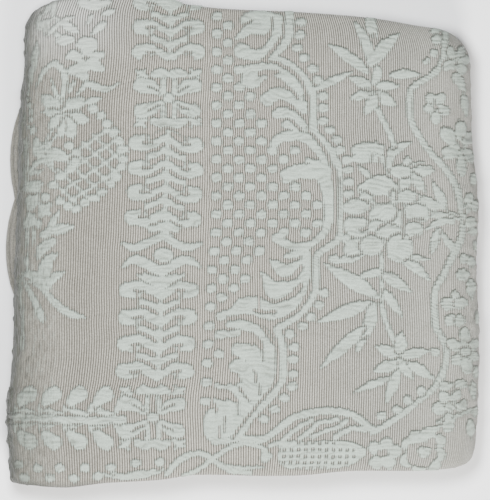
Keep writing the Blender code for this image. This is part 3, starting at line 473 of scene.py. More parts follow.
CROSS_LAUREL_UNIT = (
    ((-9, -8, 3.0), (-10.5, -14, 3.8), (-6.5, -20.5, 6.2), (-1.5, -24, 7.8)),
    ((-9, -8, 3.0), (-2, -5.4, 2.6), (6, -2.5, 2.6)), ((9.5, -8, 2.6), (11.5, -12, 3.0)),
)
ROSETTE = (
    ((-8, -5, 3), (-18, -11.5, 6.4), (-28, -13, 7.4)), ((-8, 5, 3), (-18, 11, 6.4), (-27, 13, 7.6)),
    ((8, -5, 3), (17.5, -11.5, 6.2), (26, -12.5, 6.8)), ((8, 5, 3), (17.5, 11, 6.2), (25, 12.5, 6.8)),
    ((-0.6, 0, 4.8), (0.6, 0, 4.8)), ((-5.4, -6, 2.2), (-5.4, -17, 2.4)), ((5.6, -6, 2.2), (5.6, -17, 2.4)),
    ((-5.4, 6.5, 2.2), (-5.4, 18, 2.4)), ((5.6, 6.5, 2.2), (5.6, 18, 2.4)),
    ((-15, -23.5, 3.2), (-8, -25.5, 4.7), (0, -22.8, 3.8), (9, -25.5, 4.7), (15, -23.5, 3.2)),
    ((-16, 22.5, 3.4), (-8, 25, 4.8), (0, 23.5, 4.6), (9, 25.5, 4.8), (15, 23, 3.4)),
    ((-32, -27, 1.6), (-27, -24.5, 3.0), (-22, -22, 1.8)), ((-31, -21.5, 1.3), (-24, -28, 1.5)),
    ((31, -27, 1.6), (26, -24.5, 3.0), (21, -22, 1.8)), ((30, -21.5, 1.3), (22, -28, 1.5)),
    ((-33, 27, 1.6), (-28, 24.5, 3.2), (-23, 21, 1.8)), ((-24, 29, 1.3), (-32, 21, 1.3)),
    ((31, 26, 1.6), (26, 24, 3.2), (21, 21, 1.8)), ((22, 28, 1.3), (31, 21, 1.3)),
)
ROSETTE_CUTS = (
    ((0.1, -19, 2.4), (0.1, -7, 2.4)), ((0.1, 7, 2.4), (0.1, 18, 2.4)), ((9, -6.5, 1.1), (20.5, -12.5, 1.0)),
    ((-9, -6.5, 1.1), (-21, -12.5, 1.0)), ((9, 6.5, 1.1), (20, 12, 1.0)), ((-9, 6.5, 1.1), (-20.5, 12, 1.0)),
)
ROSETTES = ((169, 98.3, 1.0), (153, 417.5, 1.1))

# Dotted ground: left column by row, and the last column by row
DOT_LEFT = (
    (0, 217), (230, 216.5), (250, 214.5), (267, 212.4), (305, 210.5), (344, 208), (381, 206.5), (401, 205.5),
)
DOT_RIGHT = (
    (0, 237), (63, 245), (88, 257), (116, 268), (142, 280), (150, 300), (160, 278), (178, 300), (190, 322),
    (228, 312), (240, 268), (262, 255), (284, 244), (292, 232), (312, 226), (372, 212), (410, 0),
)
DOT_COLUMN = 11.2
DOT_ROW_START, DOT_ROW, DOT_ROW_GROWTH = 16.5, 8.8, 0.0085
DOT_HALF = (4.9, 4.2)
BEAD_HALF = (5.1, 4.25)
TRELLIS_DOT_HALF = (4.8, 4.1)

# Trellis: middle, its two slanting steps, and the half widths of its fan along the two diagonals
TRELLIS_MIDDLE = (84.8, 160.7)
TRELLIS_UP, TRELLIS_DOWN = (10.6, -7.0), (9.8, 9.0)
TRELLIS_PITCH, TRELLIS_BAR, TRELLIS_NODE = 9.3, 0.95, 2.3
FAN_SHIFT, FAN_HALF, DIAGONAL = (1.9, 12.5), (41.0, 25.0), 0.707

# Creases: rise in millimetres, half width, then points
CREASES = (
    (0.9, 2.2, ((22, 122), (23.5, 140), (23, 162))), (0.9, 2.0, ((21, 286), (22.5, 318), (22, 352))),
    (-0.7, 2.4, ((441, 410), (452, 416), (470, 411))), (0.6, 3.0, ((445, 398), (460, 404), (474, 402))),
    (-0.5, 5.0, ((20, 236), (24, 250), (20, 266))), (0.6, 6.0, ((14, 395), (22, 412), (16, 430))),
    (-0.5, 6.0, ((447, 60), (452, 90), (450, 120))), (0.4, 9.0, ((300, 120), (330, 210), (312, 300))),
    (-0.4, 7.0, ((96, 20), (112, 120), (100, 230))), (0.5, 6.0, ((60, 470), (150, 466), (250, 462))),
    (-0.5, 4.0, ((204, 448), (220, 420), (206, 404))), (-0.4, 1.0, ((102, 89), (118, 84), (136, 80))),
    (-0.7, 1.8, ((26, 412), (60, 413.8), (92, 415.6), (118, 415.8))),
    (-0.4, 1.0, ((86, 316), (108, 312), (132, 313))), (0.4, 5.0, ((330, 20), (338, 60), (334, 120))),
)


# ---- cloth surface

class Straight:
    """A flat stretch: the place moves evenly from start to end at one height."""

    def __init__(self, start, end, height):
        self.start, self.height = start, height
        self.way = 1.0 if end > start else -1.0
        self.length = abs(end - start)

    def at(self, length):
        flat = np.zeros_like(length)
        return self.start + self.way * length, flat + self.height, flat + self.way, flat, flat


class Bend:
    """A round stretch: centre plus radius times the cosine and sine of an angle that turns with length."""

    def __init__(self, across, height, radius, first, sweep):
        self.across, self.height, self.radius = across, height, radius
        self.first, self.sweep = first * math.pi, sweep * math.pi
        self.length = abs(self.sweep) * radius

    def at(self, length):
        angle = self.first + self.sweep * length / self.length
        way = math.copysign(1.0, self.sweep)
        return (self.across + self.radius * np.cos(angle), self.height + self.radius * np.sin(angle),
                -np.sin(angle) * way, np.cos(angle) * way, np.full_like(length, 1.0 / self.radius))


def long_fold():
    """Bottom run, wrap at the right, top run, left fold, second run, inner fold, third run."""
    strip_half = STACK_HEIGHT / 2 - 1.5 * STRIP_PITCH
    inner, outer = STRIP_PITCH / 2, STRIP_PITCH * 1.5
    right, left = FOLD_RIGHT - outer - strip_half, FOLD_LEFT + inner + strip_half
    back = right - LONG_SLACK
    return (
        Straight(HEM_LEFT, right, -outer), Bend(right, 0.0, outer, -0.5, 1.0), Straight(right, left, outer),
        Bend(left, STRIP_PITCH, inner, 0.5, 1.0), Straight(left, back, inner),
        Bend(back, 0.0, inner, 0.5, -1.0), Straight(back, HEM_LEFT, -inner),
    )


def cross_fold():
    """Fourth ply, outer turn at the near side, top ply, hairpin at the far side, second ply, inner turn, third."""
    outer, inner = PLY_PITCH * 1.5, PLY_PITCH / 2
    near, far = FOLD_NEAR + outer + CLOTH_THICK / 2, FOLD_FAR - inner - CLOTH_THICK / 2
    back = near + CROSS_SLACK
    return (
        Straight(HEM_FAR, near, -outer), Bend(near, 0.0, outer, -0.5, -1.0), Straight(near, far, outer),
        Bend(far, PLY_PITCH, inner, 0.5, -1.0), Straight(far, back, inner),
        Bend(back, 0.0, inner, 0.5, 1.0), Straight(back, HEM_FAR, -inner),
    )


LONG_WAY = long_fold()
CROSS_WAY = cross_fold()


def starts(fold):
    """Length at which each stretch starts, and the whole length last."""
    return np.concatenate([[0.0], np.cumsum([stretch.length for stretch in fold])])


LONG_STARTS = starts(LONG_WAY)
CROSS_STARTS = starts(CROSS_WAY)


def walk(fold, begins, lengths):
    """Place, height, direction and curvature at each length along a fold."""
    lengths = np.clip(lengths, 0.0, begins[-1])
    number = np.clip(np.searchsorted(begins, lengths, side="right") - 1, 0, len(fold) - 1)
    found = np.empty((5,) + lengths.shape)
    for index, stretch in enumerate(fold):
        here = number == index
        if here.any():
            found[:, here] = stretch.at(lengths[here] - begins[index])
    return found


def table(rows, places):
    """Value of a short table by a cubic through its rows: Hermite form with finite-difference slopes."""
    at = np.array([row[0] for row in rows])
    out = np.array([row[1] for row in rows])
    places = np.clip(places, at[0], at[-1])
    upper = np.clip(np.searchsorted(at, places, side="left"), 1, len(at) - 1)
    before, after = np.maximum(upper - 2, 0), np.minimum(upper + 1, len(at) - 1)
    low = upper - 1
    width = at[upper] - at[low]
    slope_low = (out[upper] - out[before]) / (at[upper] - at[before]) * width
    slope_high = (out[after] - out[low]) / (at[after] - at[low]) * width
    t = (places - at[low]) / width
    return ((2 * t ** 3 - 3 * t ** 2 + 1) * out[low] + (t ** 3 - 2 * t ** 2 + t) * slope_low
            + (3 * t ** 2 - 2 * t ** 3) * out[upper] + (t ** 3 - t ** 2) * slope_high)


def between(rows, places):
    """Value of a short table by straight lines between its rows."""
    return np.interp(places, *zip(*rows))


def smooth(share):
    """Soft step from 0 to 1: 3 t squared less 2 t cubed, with t held between 0 and 1."""
    t = np.clip(share, 0.0, 1.0)
    return t * t * (3 - 2 * t)


def slips(lengths):
    """How far the cloth has slipped along Y on each run, blended round each bend."""
    far, near = np.zeros_like(lengths), np.zeros_like(lengths)
    number = np.clip(np.searchsorted(LONG_STARTS, lengths, side="right") - 1, 0, len(LONG_WAY) - 1)
    for index, run in enumerate(RUN_OF_STRETCH):
        here = number == index
        if run is not None:
            far[here], near[here] = RUN_SLIPS[run]
            continue
        share = smooth((lengths[here] - LONG_STARTS[index]) / LONG_WAY[index].length)
        before, after = RUN_SLIPS[RUN_OF_STRETCH[index - 1]], RUN_SLIPS[RUN_OF_STRETCH[index + 1]]
        far[here] = before[0] + (after[0] - before[0]) * share
        near[here] = before[1] + (after[1] - before[1]) * share
    return far, near


def scallop(place):
    """Hem lobes: depth times the cosine's size to a power, less one."""
    lobe = np.abs(np.cos(math.pi * (place - SCALLOP_PEAK) / SCALLOP_PITCH)) ** SCALLOP_POWER
    return SCALLOP_DEPTH * (lobe - 1.0)


def ease(x, y, z, far_slip, near_slip):
    """The bundle as it settles: edges moved by their tables, plies slipped, height times crown and swells."""
    across = (x - (FOLD_RIGHT + FOLD_LEFT) / 2) / ((FOLD_RIGHT - FOLD_LEFT) / 2)
    along = y / FOLD_FAR
    right = np.clip(0.5 + 0.5 * across, 0.0, 1.0) ** 2
    left = smooth(LEFT_BLEND - across)
    far = np.clip(0.5 + 0.5 * along, 0.0, 1.0) ** 2
    near = np.clip(0.5 - 0.5 * along, 0.0, 1.0) ** 2
    new_x = x + right * table(RIGHT_EDGE, along) - left * table(LEFT_EDGE, along)
    new_y = y + far * (table(FAR_EDGE, across) + far_slip) - near * (table(NEAR_EDGE, across) + near_slip)
    height = np.full_like(x, CROWN_HEIGHT)
    reaches = {"left": -across, "right": across, "near": -along, "far": along}
    for row in SHOULDERS:
        past = np.clip((reaches[row.side] - row.starts) / (1.0 - row.starts), 0.0, SHOULDER_LIMIT)
        height *= 1.0 - row.drop * past ** row.power
    for row in SWELLS:
        wave = np.sin(math.pi * (row.waves_across * across + row.across))
        height *= 1.0 + row.rise * wave * np.cos(math.pi * (row.waves_along * along + row.along))
    new_z = height * (z / STACK_HEIGHT + 0.5)
    return np.stack([new_x + MIDDLE_SHIFT[0], new_y + MIDDLE_SHIFT[1], new_z], axis=-1)


def cloth_points(length, width, offset):
    """Points of the folded cloth: length and width in the flat cloth, offset along its own normal.

    The cross fold gives y and the height of the ply; the long fold gives x and z, and carries the ply
    along its normal. Near the ends the hem's reach and scallops are added, then the bundle is eased."""
    y, ply, y_way, ply_way, _ = walk(CROSS_WAY, CROSS_STARTS, width)
    x, z, x_way, z_way, _ = walk(LONG_WAY, LONG_STARTS, length)
    flat_x = x
    y = y - offset * ply_way
    ply = ply + offset * y_way
    x = x + ply * z_way
    z = z - ply * x_way
    first = np.clip(1.0 - length / HEM_TAPER_LONG, 0.0, 1.0)
    last = np.clip(1.0 - (LONG_STARTS[-1] - length) / HEM_TAPER_LONG, 0.0, 1.0)
    x = x - (first + last) * (scallop(y) + table(HEM_REACH, y / FOLD_FAR)) + last * UPPER_HEM_SETBACK
    ends = np.clip(1.0 - np.minimum(width, CROSS_STARTS[-1] - width) / HEM_TAPER_CROSS, 0.0, 1.0)
    y = y + ends * scallop(flat_x)
    return ease(x, y, z, *slips(length))


# ---- pattern chart

def taper_distance(column, row, points):
    """Distance to a line of points less its half width, which changes evenly from point to point."""
    nearest = np.full(column.shape, FAR_AWAY)
    for (ax, ay, ar), (bx, by, br) in zip(points, points[1:]):
        dx, dy = bx - ax, by - ay
        share = np.clip(((column - ax) * dx + (row - ay) * dy) / max(dx * dx + dy * dy, 1e-6), 0.0, 1.0)
        gap = np.hypot(column - ax - share * dx, row - ay - share * dy) - (ar + (br - ar) * share)
        nearest = np.minimum(nearest, gap)
    return nearest


def softened(points):
    """A line of points with a cubic through them, three steps to each gap."""
    places = np.arange(len(points), dtype=float)
    steps = np.linspace(0, len(points) - 1, 3 * (len(points) - 1) + 1)
    return [tuple(values) for values in
            np.stack([table(tuple(zip(places, axis)), steps) for axis in zip(*points)], axis=-1)]


def blade(foot_x, foot_y, tip_x, tip_y, half_wide, outline, bluntness):
    """A leaf or petal as a taper: its outline's half widths from foot to tip.

    The tip is drawn back by a share of the half width, the bluntness."""
    reach = 1.0 - bluntness * half_wide / math.hypot(tip_x - foot_x, tip_y - foot_y)
    return [(foot_x + (tip_x - foot_x) * reach * along, foot_y + (tip_y - foot_y) * reach * along, share * half_wide)
            for along, share in outline]


class Chart:
    """Signed distance, in squares, from each place to the raised figures: below zero inside them."""

    MARGIN = 9.0
    BOX_FLAT = 0.22

    def __init__(self, column, row):
        self.column, self.row = column, row
        self.distance = np.full(column.shape, self.MARGIN)

    def place(self, points, raised=True):
        """Add a taper to the figures, or cut it out of them, wherever its box and margin reach."""
        xs, ys, rs = zip(*points)
        reach = max(rs) + self.MARGIN
        near = ((self.column > min(xs) - reach) & (self.column < max(xs) + reach)
                & (self.row > min(ys) - reach) & (self.row < max(ys) + reach))
        if near.any():
            gap = taper_distance(self.column[near], self.row[near], points)
            held = self.distance[near]
            self.distance[near] = self.joined(held, gap, xs[0], ys[0]) if raised else np.maximum(held, -gap)

    def joined(self, held, gap, x, y):
        """Figures held so far joined with a new one.

        If it starts in a seamed box, a thin line is left along its outline across the figures below."""
        both = np.minimum(held, gap)
        if any(left < x < right and top < y < bottom for left, top, right, bottom in SEAM_BOXES):
            both = np.where(held < SEAM_FROM, np.maximum(both, SEAM_HALF - np.abs(gap)), both)
        return both

    def oval(self, x, y, half_x, half_y, turn=0):
        """Add an oval: its own radius less one, times the smaller half width."""
        reach = max(half_x, half_y) + self.MARGIN
        near = (np.abs(self.column - x) < reach) & (np.abs(self.row - y) < reach)
        if near.any():
            angle = math.radians(turn)
            dx, dy = self.column[near] - x, self.row[near] - y
            u = (dx * math.cos(angle) + dy * math.sin(angle)) / half_x
            v = (dy * math.cos(angle) - dx * math.sin(angle)) / half_y
            gap = (np.hypot(u, v) - 1.0) * min(half_x, half_y)
            self.distance[near] = self.joined(self.distance[near], gap, x, y)

    def boxes(self, dx, dy, half_x, half_y, shown, raised=True):
        """Add or cut a rounded box at the given distances from its middle."""
        flat, round_part = self.BOX_FLAT, 1.0 - self.BOX_FLAT
        px, py = np.abs(dx) / half_x - flat, np.abs(dy) / half_y - flat
        gap = np.hypot(np.maximum(px, 0), np.maximum(py, 0)) / round_part - 1.0
        gap = np.where(shown, gap * round_part * min(half_x, half_y), self.MARGIN)
        self.distance = np.minimum(self.distance, gap) if raised else np.maximum(self.distance, -gap)


def place_laurel(chart):
    """A filled column with lobes either side, and the ribbed gaps of each leaf pair cut out of it.

    The lower pairs point down and the upper ones up; the right side is a little narrower. Across the foot
    leaves and arms lean along a band, above and below it."""
    for top, bottom, half_wide in LAUREL_FILLS:
        rows = np.linspace(top, bottom, FILL_POINTS)
        chart.place([(between(LAUREL_STEM, at) + FILL_SHIFT, at, half_wide) for at in rows])
    units = [(between(LAUREL_STEM, at), at, 1.0, 0.0) for at in LAUREL_DOWN]
    units += [(between(LAUREL_STEM, at), at, -1.0, UPPER_DROP) for at in LAUREL_UP]
    for raised, group in ((True, (LAUREL_LOBE,)), (False, LAUREL_CUTS)):
        for stem, lobe, way, drop in units:
            spread = between(LAUREL_WIDTH, lobe)
            for share, lower in ((spread, 0.0), (-RIGHT_SHARE * spread, drop)):
                for points in group:
                    chart.place([(stem + dx * share, lobe + lower + way * dy, r) for dx, dy, r in points], raised)
    for lobe in CROSS_LAUREL_LOBES:
        for share in (1.0, -1.0):
            for points in CROSS_LAUREL_UNIT:
                chart.place(softened([(lobe + dx, CROSS_LAUREL_ROW + dy * share, r) for dx, dy, r in points]))
    for points in LAUREL_END_CUTS:
        chart.place(points, raised=False)
    for x, y, tall in ROSETTES:
        for raised, group in ((True, ROSETTE), (False, ROSETTE_CUTS)):
            for points in group:
                chart.place([(x + dx, y + dy * tall, r) for dx, dy, r in points], raised)


def dot_lattice(column, row):
    """Column and row numbers in the staggered lattice of dots, whose rows widen towards the near edge."""
    left = between(DOT_LEFT, row)
    across = (column - left) / DOT_COLUMN
    room = DOT_ROW ** 2 + 4 * DOT_ROW_GROWTH * np.maximum(row - DOT_ROW_START, -40.0)
    along = (np.sqrt(np.maximum(room, 1e-3)) - DOT_ROW) / (2 * DOT_ROW_GROWTH)
    return across, along


def place_dots(chart):
    """Rounded dots on every other crossing of the lattice, within the dotted ground."""
    across, along = dot_lattice(chart.column, chart.row)
    p, q = np.round((across + along) / 2), np.round((across - along) / 2)
    near_across, near_along = p + q, p - q
    pitch = DOT_ROW + 2 * DOT_ROW_GROWTH * near_along
    middle_row = DOT_ROW_START + DOT_ROW * near_along + DOT_ROW_GROWTH * near_along ** 2
    left = between(DOT_LEFT, middle_row)
    rows, lasts = np.array(DOT_RIGHT, dtype=float).T
    last = lasts[np.clip(np.searchsorted(rows, middle_row, side="right") - 1, 0, len(rows) - 1)]
    middle = left + near_across * DOT_COLUMN
    shown = (near_across > -0.5) & (near_along > -0.5) & (middle < last)
    chart.boxes((across - near_across) * DOT_COLUMN, (along - near_along) * pitch, *DOT_HALF, shown)


def place_trellis(chart):
    """Crossed lines of beads inside the trellis fan: two families of slanting rows, cut to a squared oval.

    A place is so many steps up and so many down; a bar runs where either count is whole, a bead where both are."""
    dx, dy = chart.column - TRELLIS_MIDDLE[0], chart.row - TRELLIS_MIDDLE[1]
    (up_x, up_y), (down_x, down_y) = TRELLIS_UP, TRELLIS_DOWN
    area = up_x * down_y - up_y * down_x
    first, second = (dx * down_y - dy * down_x) / area, (dy * up_x - dx * up_y) / area
    first, second = first - np.round(first), second - np.round(second)
    up, down = (dx - dy - FAN_SHIFT[0]) * DIAGONAL, (dx + dy - FAN_SHIFT[1]) * DIAGONAL
    inside = (np.abs(up) / FAN_HALF[0]) ** 3 + (np.abs(down) / FAN_HALF[1]) ** 3 < 1.0
    bar = np.minimum(np.abs(first), np.abs(second)) * TRELLIS_PITCH - TRELLIS_BAR
    node = np.hypot(first, second) * TRELLIS_PITCH - TRELLIS_NODE
    gap = np.where(inside, np.minimum(bar, node), chart.MARGIN)
    chart.distance = np.minimum(chart.distance, gap)


def figures(column, row, rib):
    """Signed distance to every raised figure of the chart, and to its cords alone."""
    chart = Chart(column, row)
    place_laurel(chart)
    for points in TAPERS:
        chart.place(softened(points))
    cords = Chart(column, row)
    for half_wide, points in LINES:
        line = [(x, y, half_wide) for x, y in softened(points)]
        chart.place(line)
        cords.place(line)
    for values in LEAVES:
        chart.place(blade(*values, LEAF_OUTLINE, 0.0))
    for values in PETALS:
        chart.place(blade(*values, PETAL_OUTLINE, PETAL_BLUNTNESS))
    for values in OVALS:
        chart.oval(*values)
    for points in CUT_TAPERS:
        chart.place(softened(points), raised=False)
    for half_wide, points in CUT_LINES:
        chart.place([(x, y, half_wide) for x, y in softened(points)], raised=False)
    for at, first, last in CARTOUCHE_DASHES:
        shown = (np.abs(chart.row - at) < 6) & (chart.column > first - 1.5) & (chart.column < last + 3)
        phase = rib / DASH_RIBS
        aside = (phase - np.round(phase)) * DASH_RIBS * DASH_RIB_PITCH
        chart.boxes(aside, chart.row - at, DASH_WIDE, DASH_HIGH, shown, raised=False)
    for x, y in BEADS:
        chart.oval(x, y, *BEAD_HALF)
    for x, y in TRELLIS_DOTS:
        chart.oval(x, y, *TRELLIS_DOT_HALF)
    place_trellis(chart)
    place_dots(chart)
    return chart.distance, cords.distance


def lattice_noise(column, row, seed):
    """Smooth noise between -1 and 1: seeded numbers on whole places, blended with soft steps between them."""
    wide, long = NOISE_CELLS
    grid = np.random.default_rng(seed).uniform(-1.0, 1.0, NOISE_CELLS)
    x, y = np.floor(column).astype(int), np.floor(row).astype(int)
    u, v = smooth(column - x), smooth(row - y)
    near, far = (grid[x % wide, at % long] * (1 - u) + grid[(x + 1) % wide, at % long] * u for at in (y, y + 1))
    return near * (1 - v) + far * v


def waver(column, row, kind, share=1.0):
    """One of the wavers at each place: its size, times a share, times its noise."""
    return kind.size * share * lattice_noise(column / kind.across, row / kind.along, kind.seed)


def puckers(column, row):
    """Fine furrows across the figures: narrow valleys at even rows, bent and thinned by noise.

    A furrow is one less a power of the sine's size, of a row number that wanders."""
    wander = waver(column, row, PUCKER_BEND) + waver(column, row, PUCKER_JITTER)
    furrow = 1.0 - np.abs(np.sin(math.pi * (row / PUCKER_ROW + wander))) ** PUCKER_POWER
    strength = smooth(0.5 + waver(column, row, PUCKER_FADE))
    return furrow * (0.30 + 0.70 * strength)


def twist(column, row):
    """Close notches along a cord, like a rope's: a raised cosine of a slanting row number, unevenly deep."""
    turn = row / NOTCH_ROW - column * NOTCH_SLANT + waver(column, row, CORD_BEND)
    deep = 0.52 + waver(column, row, CORD_FADE)
    return deep * (0.5 + 0.5 * np.cos(2 * math.pi * turn)) ** NOTCH_POWER


def far_side(column, row, distance):
    """How far a figure's edge faces up and left, from 0 to 1: the slope of the distance along that way."""
    slope_down = np.gradient(distance, axis=0) / np.gradient(row, axis=0)
    slope_across = np.gradient(distance, axis=1) / np.gradient(column, axis=1)
    return np.clip(-0.45 * np.clip(slope_across, -1.2, 1.2) - 0.9 * slope_down, 0.0, 1.0)


def border(column):
    """From 0 to 1 towards the garland at the right."""
    return smooth((column - BORDER_COLUMN) / BORDER_WIDE)


def relief(column, row, distance, furrow, height):
    """Height of the face: figures rounded up from their edges, a groove round them, furrows and creases.

    The rise is one less the square of what is left to the edge's width; a dome adds a soft step further in."""
    inside = -distance
    rise = 1.0 - (1.0 - np.clip((inside + EDGE_START) / EDGE_WIDE, 0.0, 1.0)) ** 2
    dome = smooth((inside - DOME_START) / DOME_WIDE)
    groove = np.exp(-((distance - GROOVE_AT) / GROOVE_AT) ** 2)
    face = height * (RISE_SHARE * rise + DOME_SHARE * dome - GROOVE_SHARE * groove)
    face = face - (FURROW_DEPTH + BORDER_FURROW_DEPTH * border(column)) * furrow
    knobbly = 1.5 * smooth((44.0 - column) / 20.0) + smooth((column - 448.0) / 22.0)
    face = face + waver(column, row, KNOBS, knobbly)
    face = face + waver(column, row, FOLD_KNOBS, smooth((40.0 - column) / 14.0))
    face = face + waver(column, row, SWAY)
    for rise_mm, half_wide, points in CREASES:
        gap = taper_distance(column, row, softened([(x, y, 0.0) for x, y in points]))
        face = face + 0.001 * rise_mm * np.exp(-(gap / half_wide) ** 2)
    return face


# ---- meshes

def stations(begins, fold, first, last, straight_step, bend_step, outside=0.0):
    """Lengths of grid lines between two places, evenly spaced in each stretch."""
    found = []
    for index, stretch in enumerate(fold):
        low, high = max(begins[index], first), min(begins[index + 1], last)
        if high - low < 1e-7:
            continue
        curved = isinstance(stretch, Bend)
        stretched = (1.0 + outside / stretch.radius) if curved else 1.0
        count = max(1, int(math.ceil((high - low) * stretched / (bend_step if curved else straight_step) - 1e-6)))
        found.append(np.linspace(low, high, count + 1)[:-1])
    return np.concatenate(found + [[last]])


def new_mesh(name, points, quads, cloth, marks=None, normals=None):
    """A mesh from whole arrays: points, four-sided faces, cloth coordinates and marks by name."""
    mesh = bpy.data.meshes.new(name)
    mesh.vertices.add(len(points))
    mesh.vertices.foreach_set("co", np.ascontiguousarray(points, dtype=np.float32).ravel())
    mesh.loops.add(quads.size)
    mesh.loops.foreach_set("vertex_index", quads.astype(np.int32).ravel())
    mesh.polygons.add(len(quads))
    mesh.polygons.foreach_set("loop_start", np.arange(len(quads), dtype=np.int32) * 4)
    mesh.polygons.foreach_set("use_smooth", np.ones(len(quads), dtype=bool))
    mesh.update(calc_edges=True)
    layer = mesh.uv_layers.new(name="cloth")
    layer.data.foreach_set("uv", cloth[quads.ravel()].astype(np.float32).ravel())
    for mark, values in (marks or {}).items():
        mesh.attributes.new(mark, "FLOAT", "POINT").data.foreach_set("value", values.astype(np.float32))
    if normals is not None:
        mesh.normals_split_custom_set_from_vertices(normals)
    piece = bpy.data.objects.new(name, mesh)
    bpy.context.scene.collection.objects.link(piece)
    return piece


def grid_quads(rows, columns):
    """Vertex numbers of each four-sided face of a grid, turning from its columns' way to its rows' way."""
    corner = (np.arange(rows - 1)[:, None] * columns + np.arange(columns - 1)[None, :]).ravel()
    return np.stack([corner, corner + 1, corner + columns + 1, corner + columns], axis=-1)


def outward_normals(points):
    """Unit cross product of the cloth grid's differences: upward on top, where lengths run left and widths away."""
    normal = np.cross(np.gradient(points, axis=0), np.gradient(points, axis=1))
    return normal / np.maximum(np.linalg.norm(normal, axis=-1, keepdims=True), 1e-12)


def rib_number(column):
    """Ribs counted from the chart's left: the integral of one over their pitch, which narrows evenly.

    Past either side of the chart the pitch stays as it is there."""
    held = np.clip(column, 0.0, CHART_WIDE)
    count = -np.log(1.0 - RIB_NARROWING * held / RIB_PITCH) / RIB_NARROWING
    before, after = np.minimum(column, 0.0), np.maximum(column - CHART_WIDE, 0.0)
    return count + before / RIB_PITCH + after / (RIB_PITCH - RIB_NARROWING * CHART_WIDE)


def build_layers():
    """The whole cloth as a closed sheet: two grids half a thickness either side, joined round the rim."""
    lengths = stations(LONG_STARTS, LONG_WAY, 0.0, LONG_STARTS[-1], LAYER_STEP, LONG_BEND_STEP)
    widths = stations(CROSS_STARTS, CROSS_WAY, 0.0, CROSS_STARTS[-1], LAYER_STEP, CROSS_BEND_STEP)
    length, width = np.meshgrid(lengths, widths)
    rows, columns = length.shape
    half = CLOTH_THICK / 2
    outer, middle, inner = (cloth_points(length, width, np.full(length.shape, side)) for side in (half, 0.0, -half))
    number = np.arange(rows * columns).reshape(rows, columns)
    rim = np.concatenate([number[0, :-1], number[:-1, -1], number[-1, :0:-1], number[:0:-1, 0]])
    outward = np.zeros_like(middle)
    for edge, beside in ((0, 1), (-1, -2)):
        outward[edge] += middle[edge] - middle[beside]
        outward[:, edge] += middle[:, edge] - middle[:, beside]
    outward = outward.reshape(-1, 3)[rim]
    outward /= np.linalg.norm(outward, axis=-1, keepdims=True)
    bead = middle.reshape(-1, 3)[rim] + outward * half * RIM_BULGE
    count = rows * columns
    points = np.concatenate([outer.reshape(-1, 3), inner.reshape(-1, 3), bead])
    side = grid_quads(rows, columns)
    beads = 2 * count + np.arange(len(rim))
    following = np.roll(np.arange(len(rim)), -1)
    outer_edge = np.stack([rim, rim[following], beads[following], beads], axis=-1)
    inner_edge = np.stack([beads, beads[following], rim[following] + count, rim + count], axis=-1)
    # Open fault: lengths run leftward on the top ply, so this winding points the faces inward.
    quads = np.concatenate([side, (side + count)[:, ::-1], outer_edge[:, ::-1], inner_edge[:, ::-1]])
    rib = rib_number(CHART_COLUMN + (LONG_STARTS[3] - length) / SQUARE + LONG_WAY[3].across / SQUARE)
    cloth = np.stack([rib, width / SQUARE / UV_ROWS], axis=-1).reshape(-1, 2)
    ends = np.minimum(np.minimum(length, LONG_STARTS[-1] - length), np.minimum(width, CROSS_STARTS[-1] - width))
    hem = smooth((PLAIN_HEM - ends) / PLAIN_HEM_FADE).ravel()
    return new_mesh("bedspread_layers", points, quads, np.concatenate([cloth, cloth, cloth[rim]]),
                    {"hem": np.concatenate([hem, hem, hem[rim]])})


def outward_drift(fold, begins, top, lengths, offset):
    """How far the chart runs on past the shape's outline, in squares, so that it wraps unstretched.

    Past the top stretch the chart moves at least half as fast as the cloth. The drift is the sum, from
    the top stretch outward, of that speed less the speed at which the place itself moves outward."""
    fine = np.linspace(lengths[0], lengths[-1], DRIFT_PLACES)
    _, _, way, _, curve = walk(fold, begins, fine)
    speed = 1.0 + offset * curve
    top_way = fold[top].way
    step = fine[1] - fine[0]
    extra = (np.maximum(0.5, np.abs(way)) - way * top_way) * speed * step / SQUARE
    after = np.where(fine > begins[top + 1], extra, 0.0)
    before = np.where(fine < begins[top], extra, 0.0)
    total = np.cumsum(after) - np.cumsum(before[::-1])[::-1]
    return np.interp(lengths, fine, total * top_way)


def ribs_along(lengths, widths, column, row, outer):
    """Rib number at each place, and the ribs' pitch in squares.

    Ribs are counted along the cloth's outer surface from the column of its middle, wander a little, and
    bow round the dots of the dotted ground."""
    curve = walk(LONG_WAY, LONG_STARTS, lengths)[4]
    steps = np.diff(lengths) * (1.0 + outer * 0.5 * (curve[1:] + curve[:-1]))
    surface = np.concatenate([[0.0], np.cumsum(steps)])
    middle = np.searchsorted(lengths, LONG_STARTS[2] + 0.2)
    start = CHART_COLUMN + (LONG_WAY[2].start - (lengths[middle] - LONG_STARTS[2])) / SQUARE
    flat = start - (surface - surface[middle]) / SQUARE
    across, along = dot_lattice(column, row)
    dotted = smooth((column - 206) / 6) * smooth((between(DOT_RIGHT, row) + 6 - column) / 8)
    rib = rib_number(flat)[None, :] - 0.2 * dotted * np.sin(math.pi * across) * np.cos(math.pi * along)
    rib = rib + waver(column, row, RIB_BEND) + waver(column, row, RIB_JITTER)
    return rib, (RIB_PITCH - RIB_NARROWING * np.clip(flat, 0.0, CHART_WIDE))[None, :]


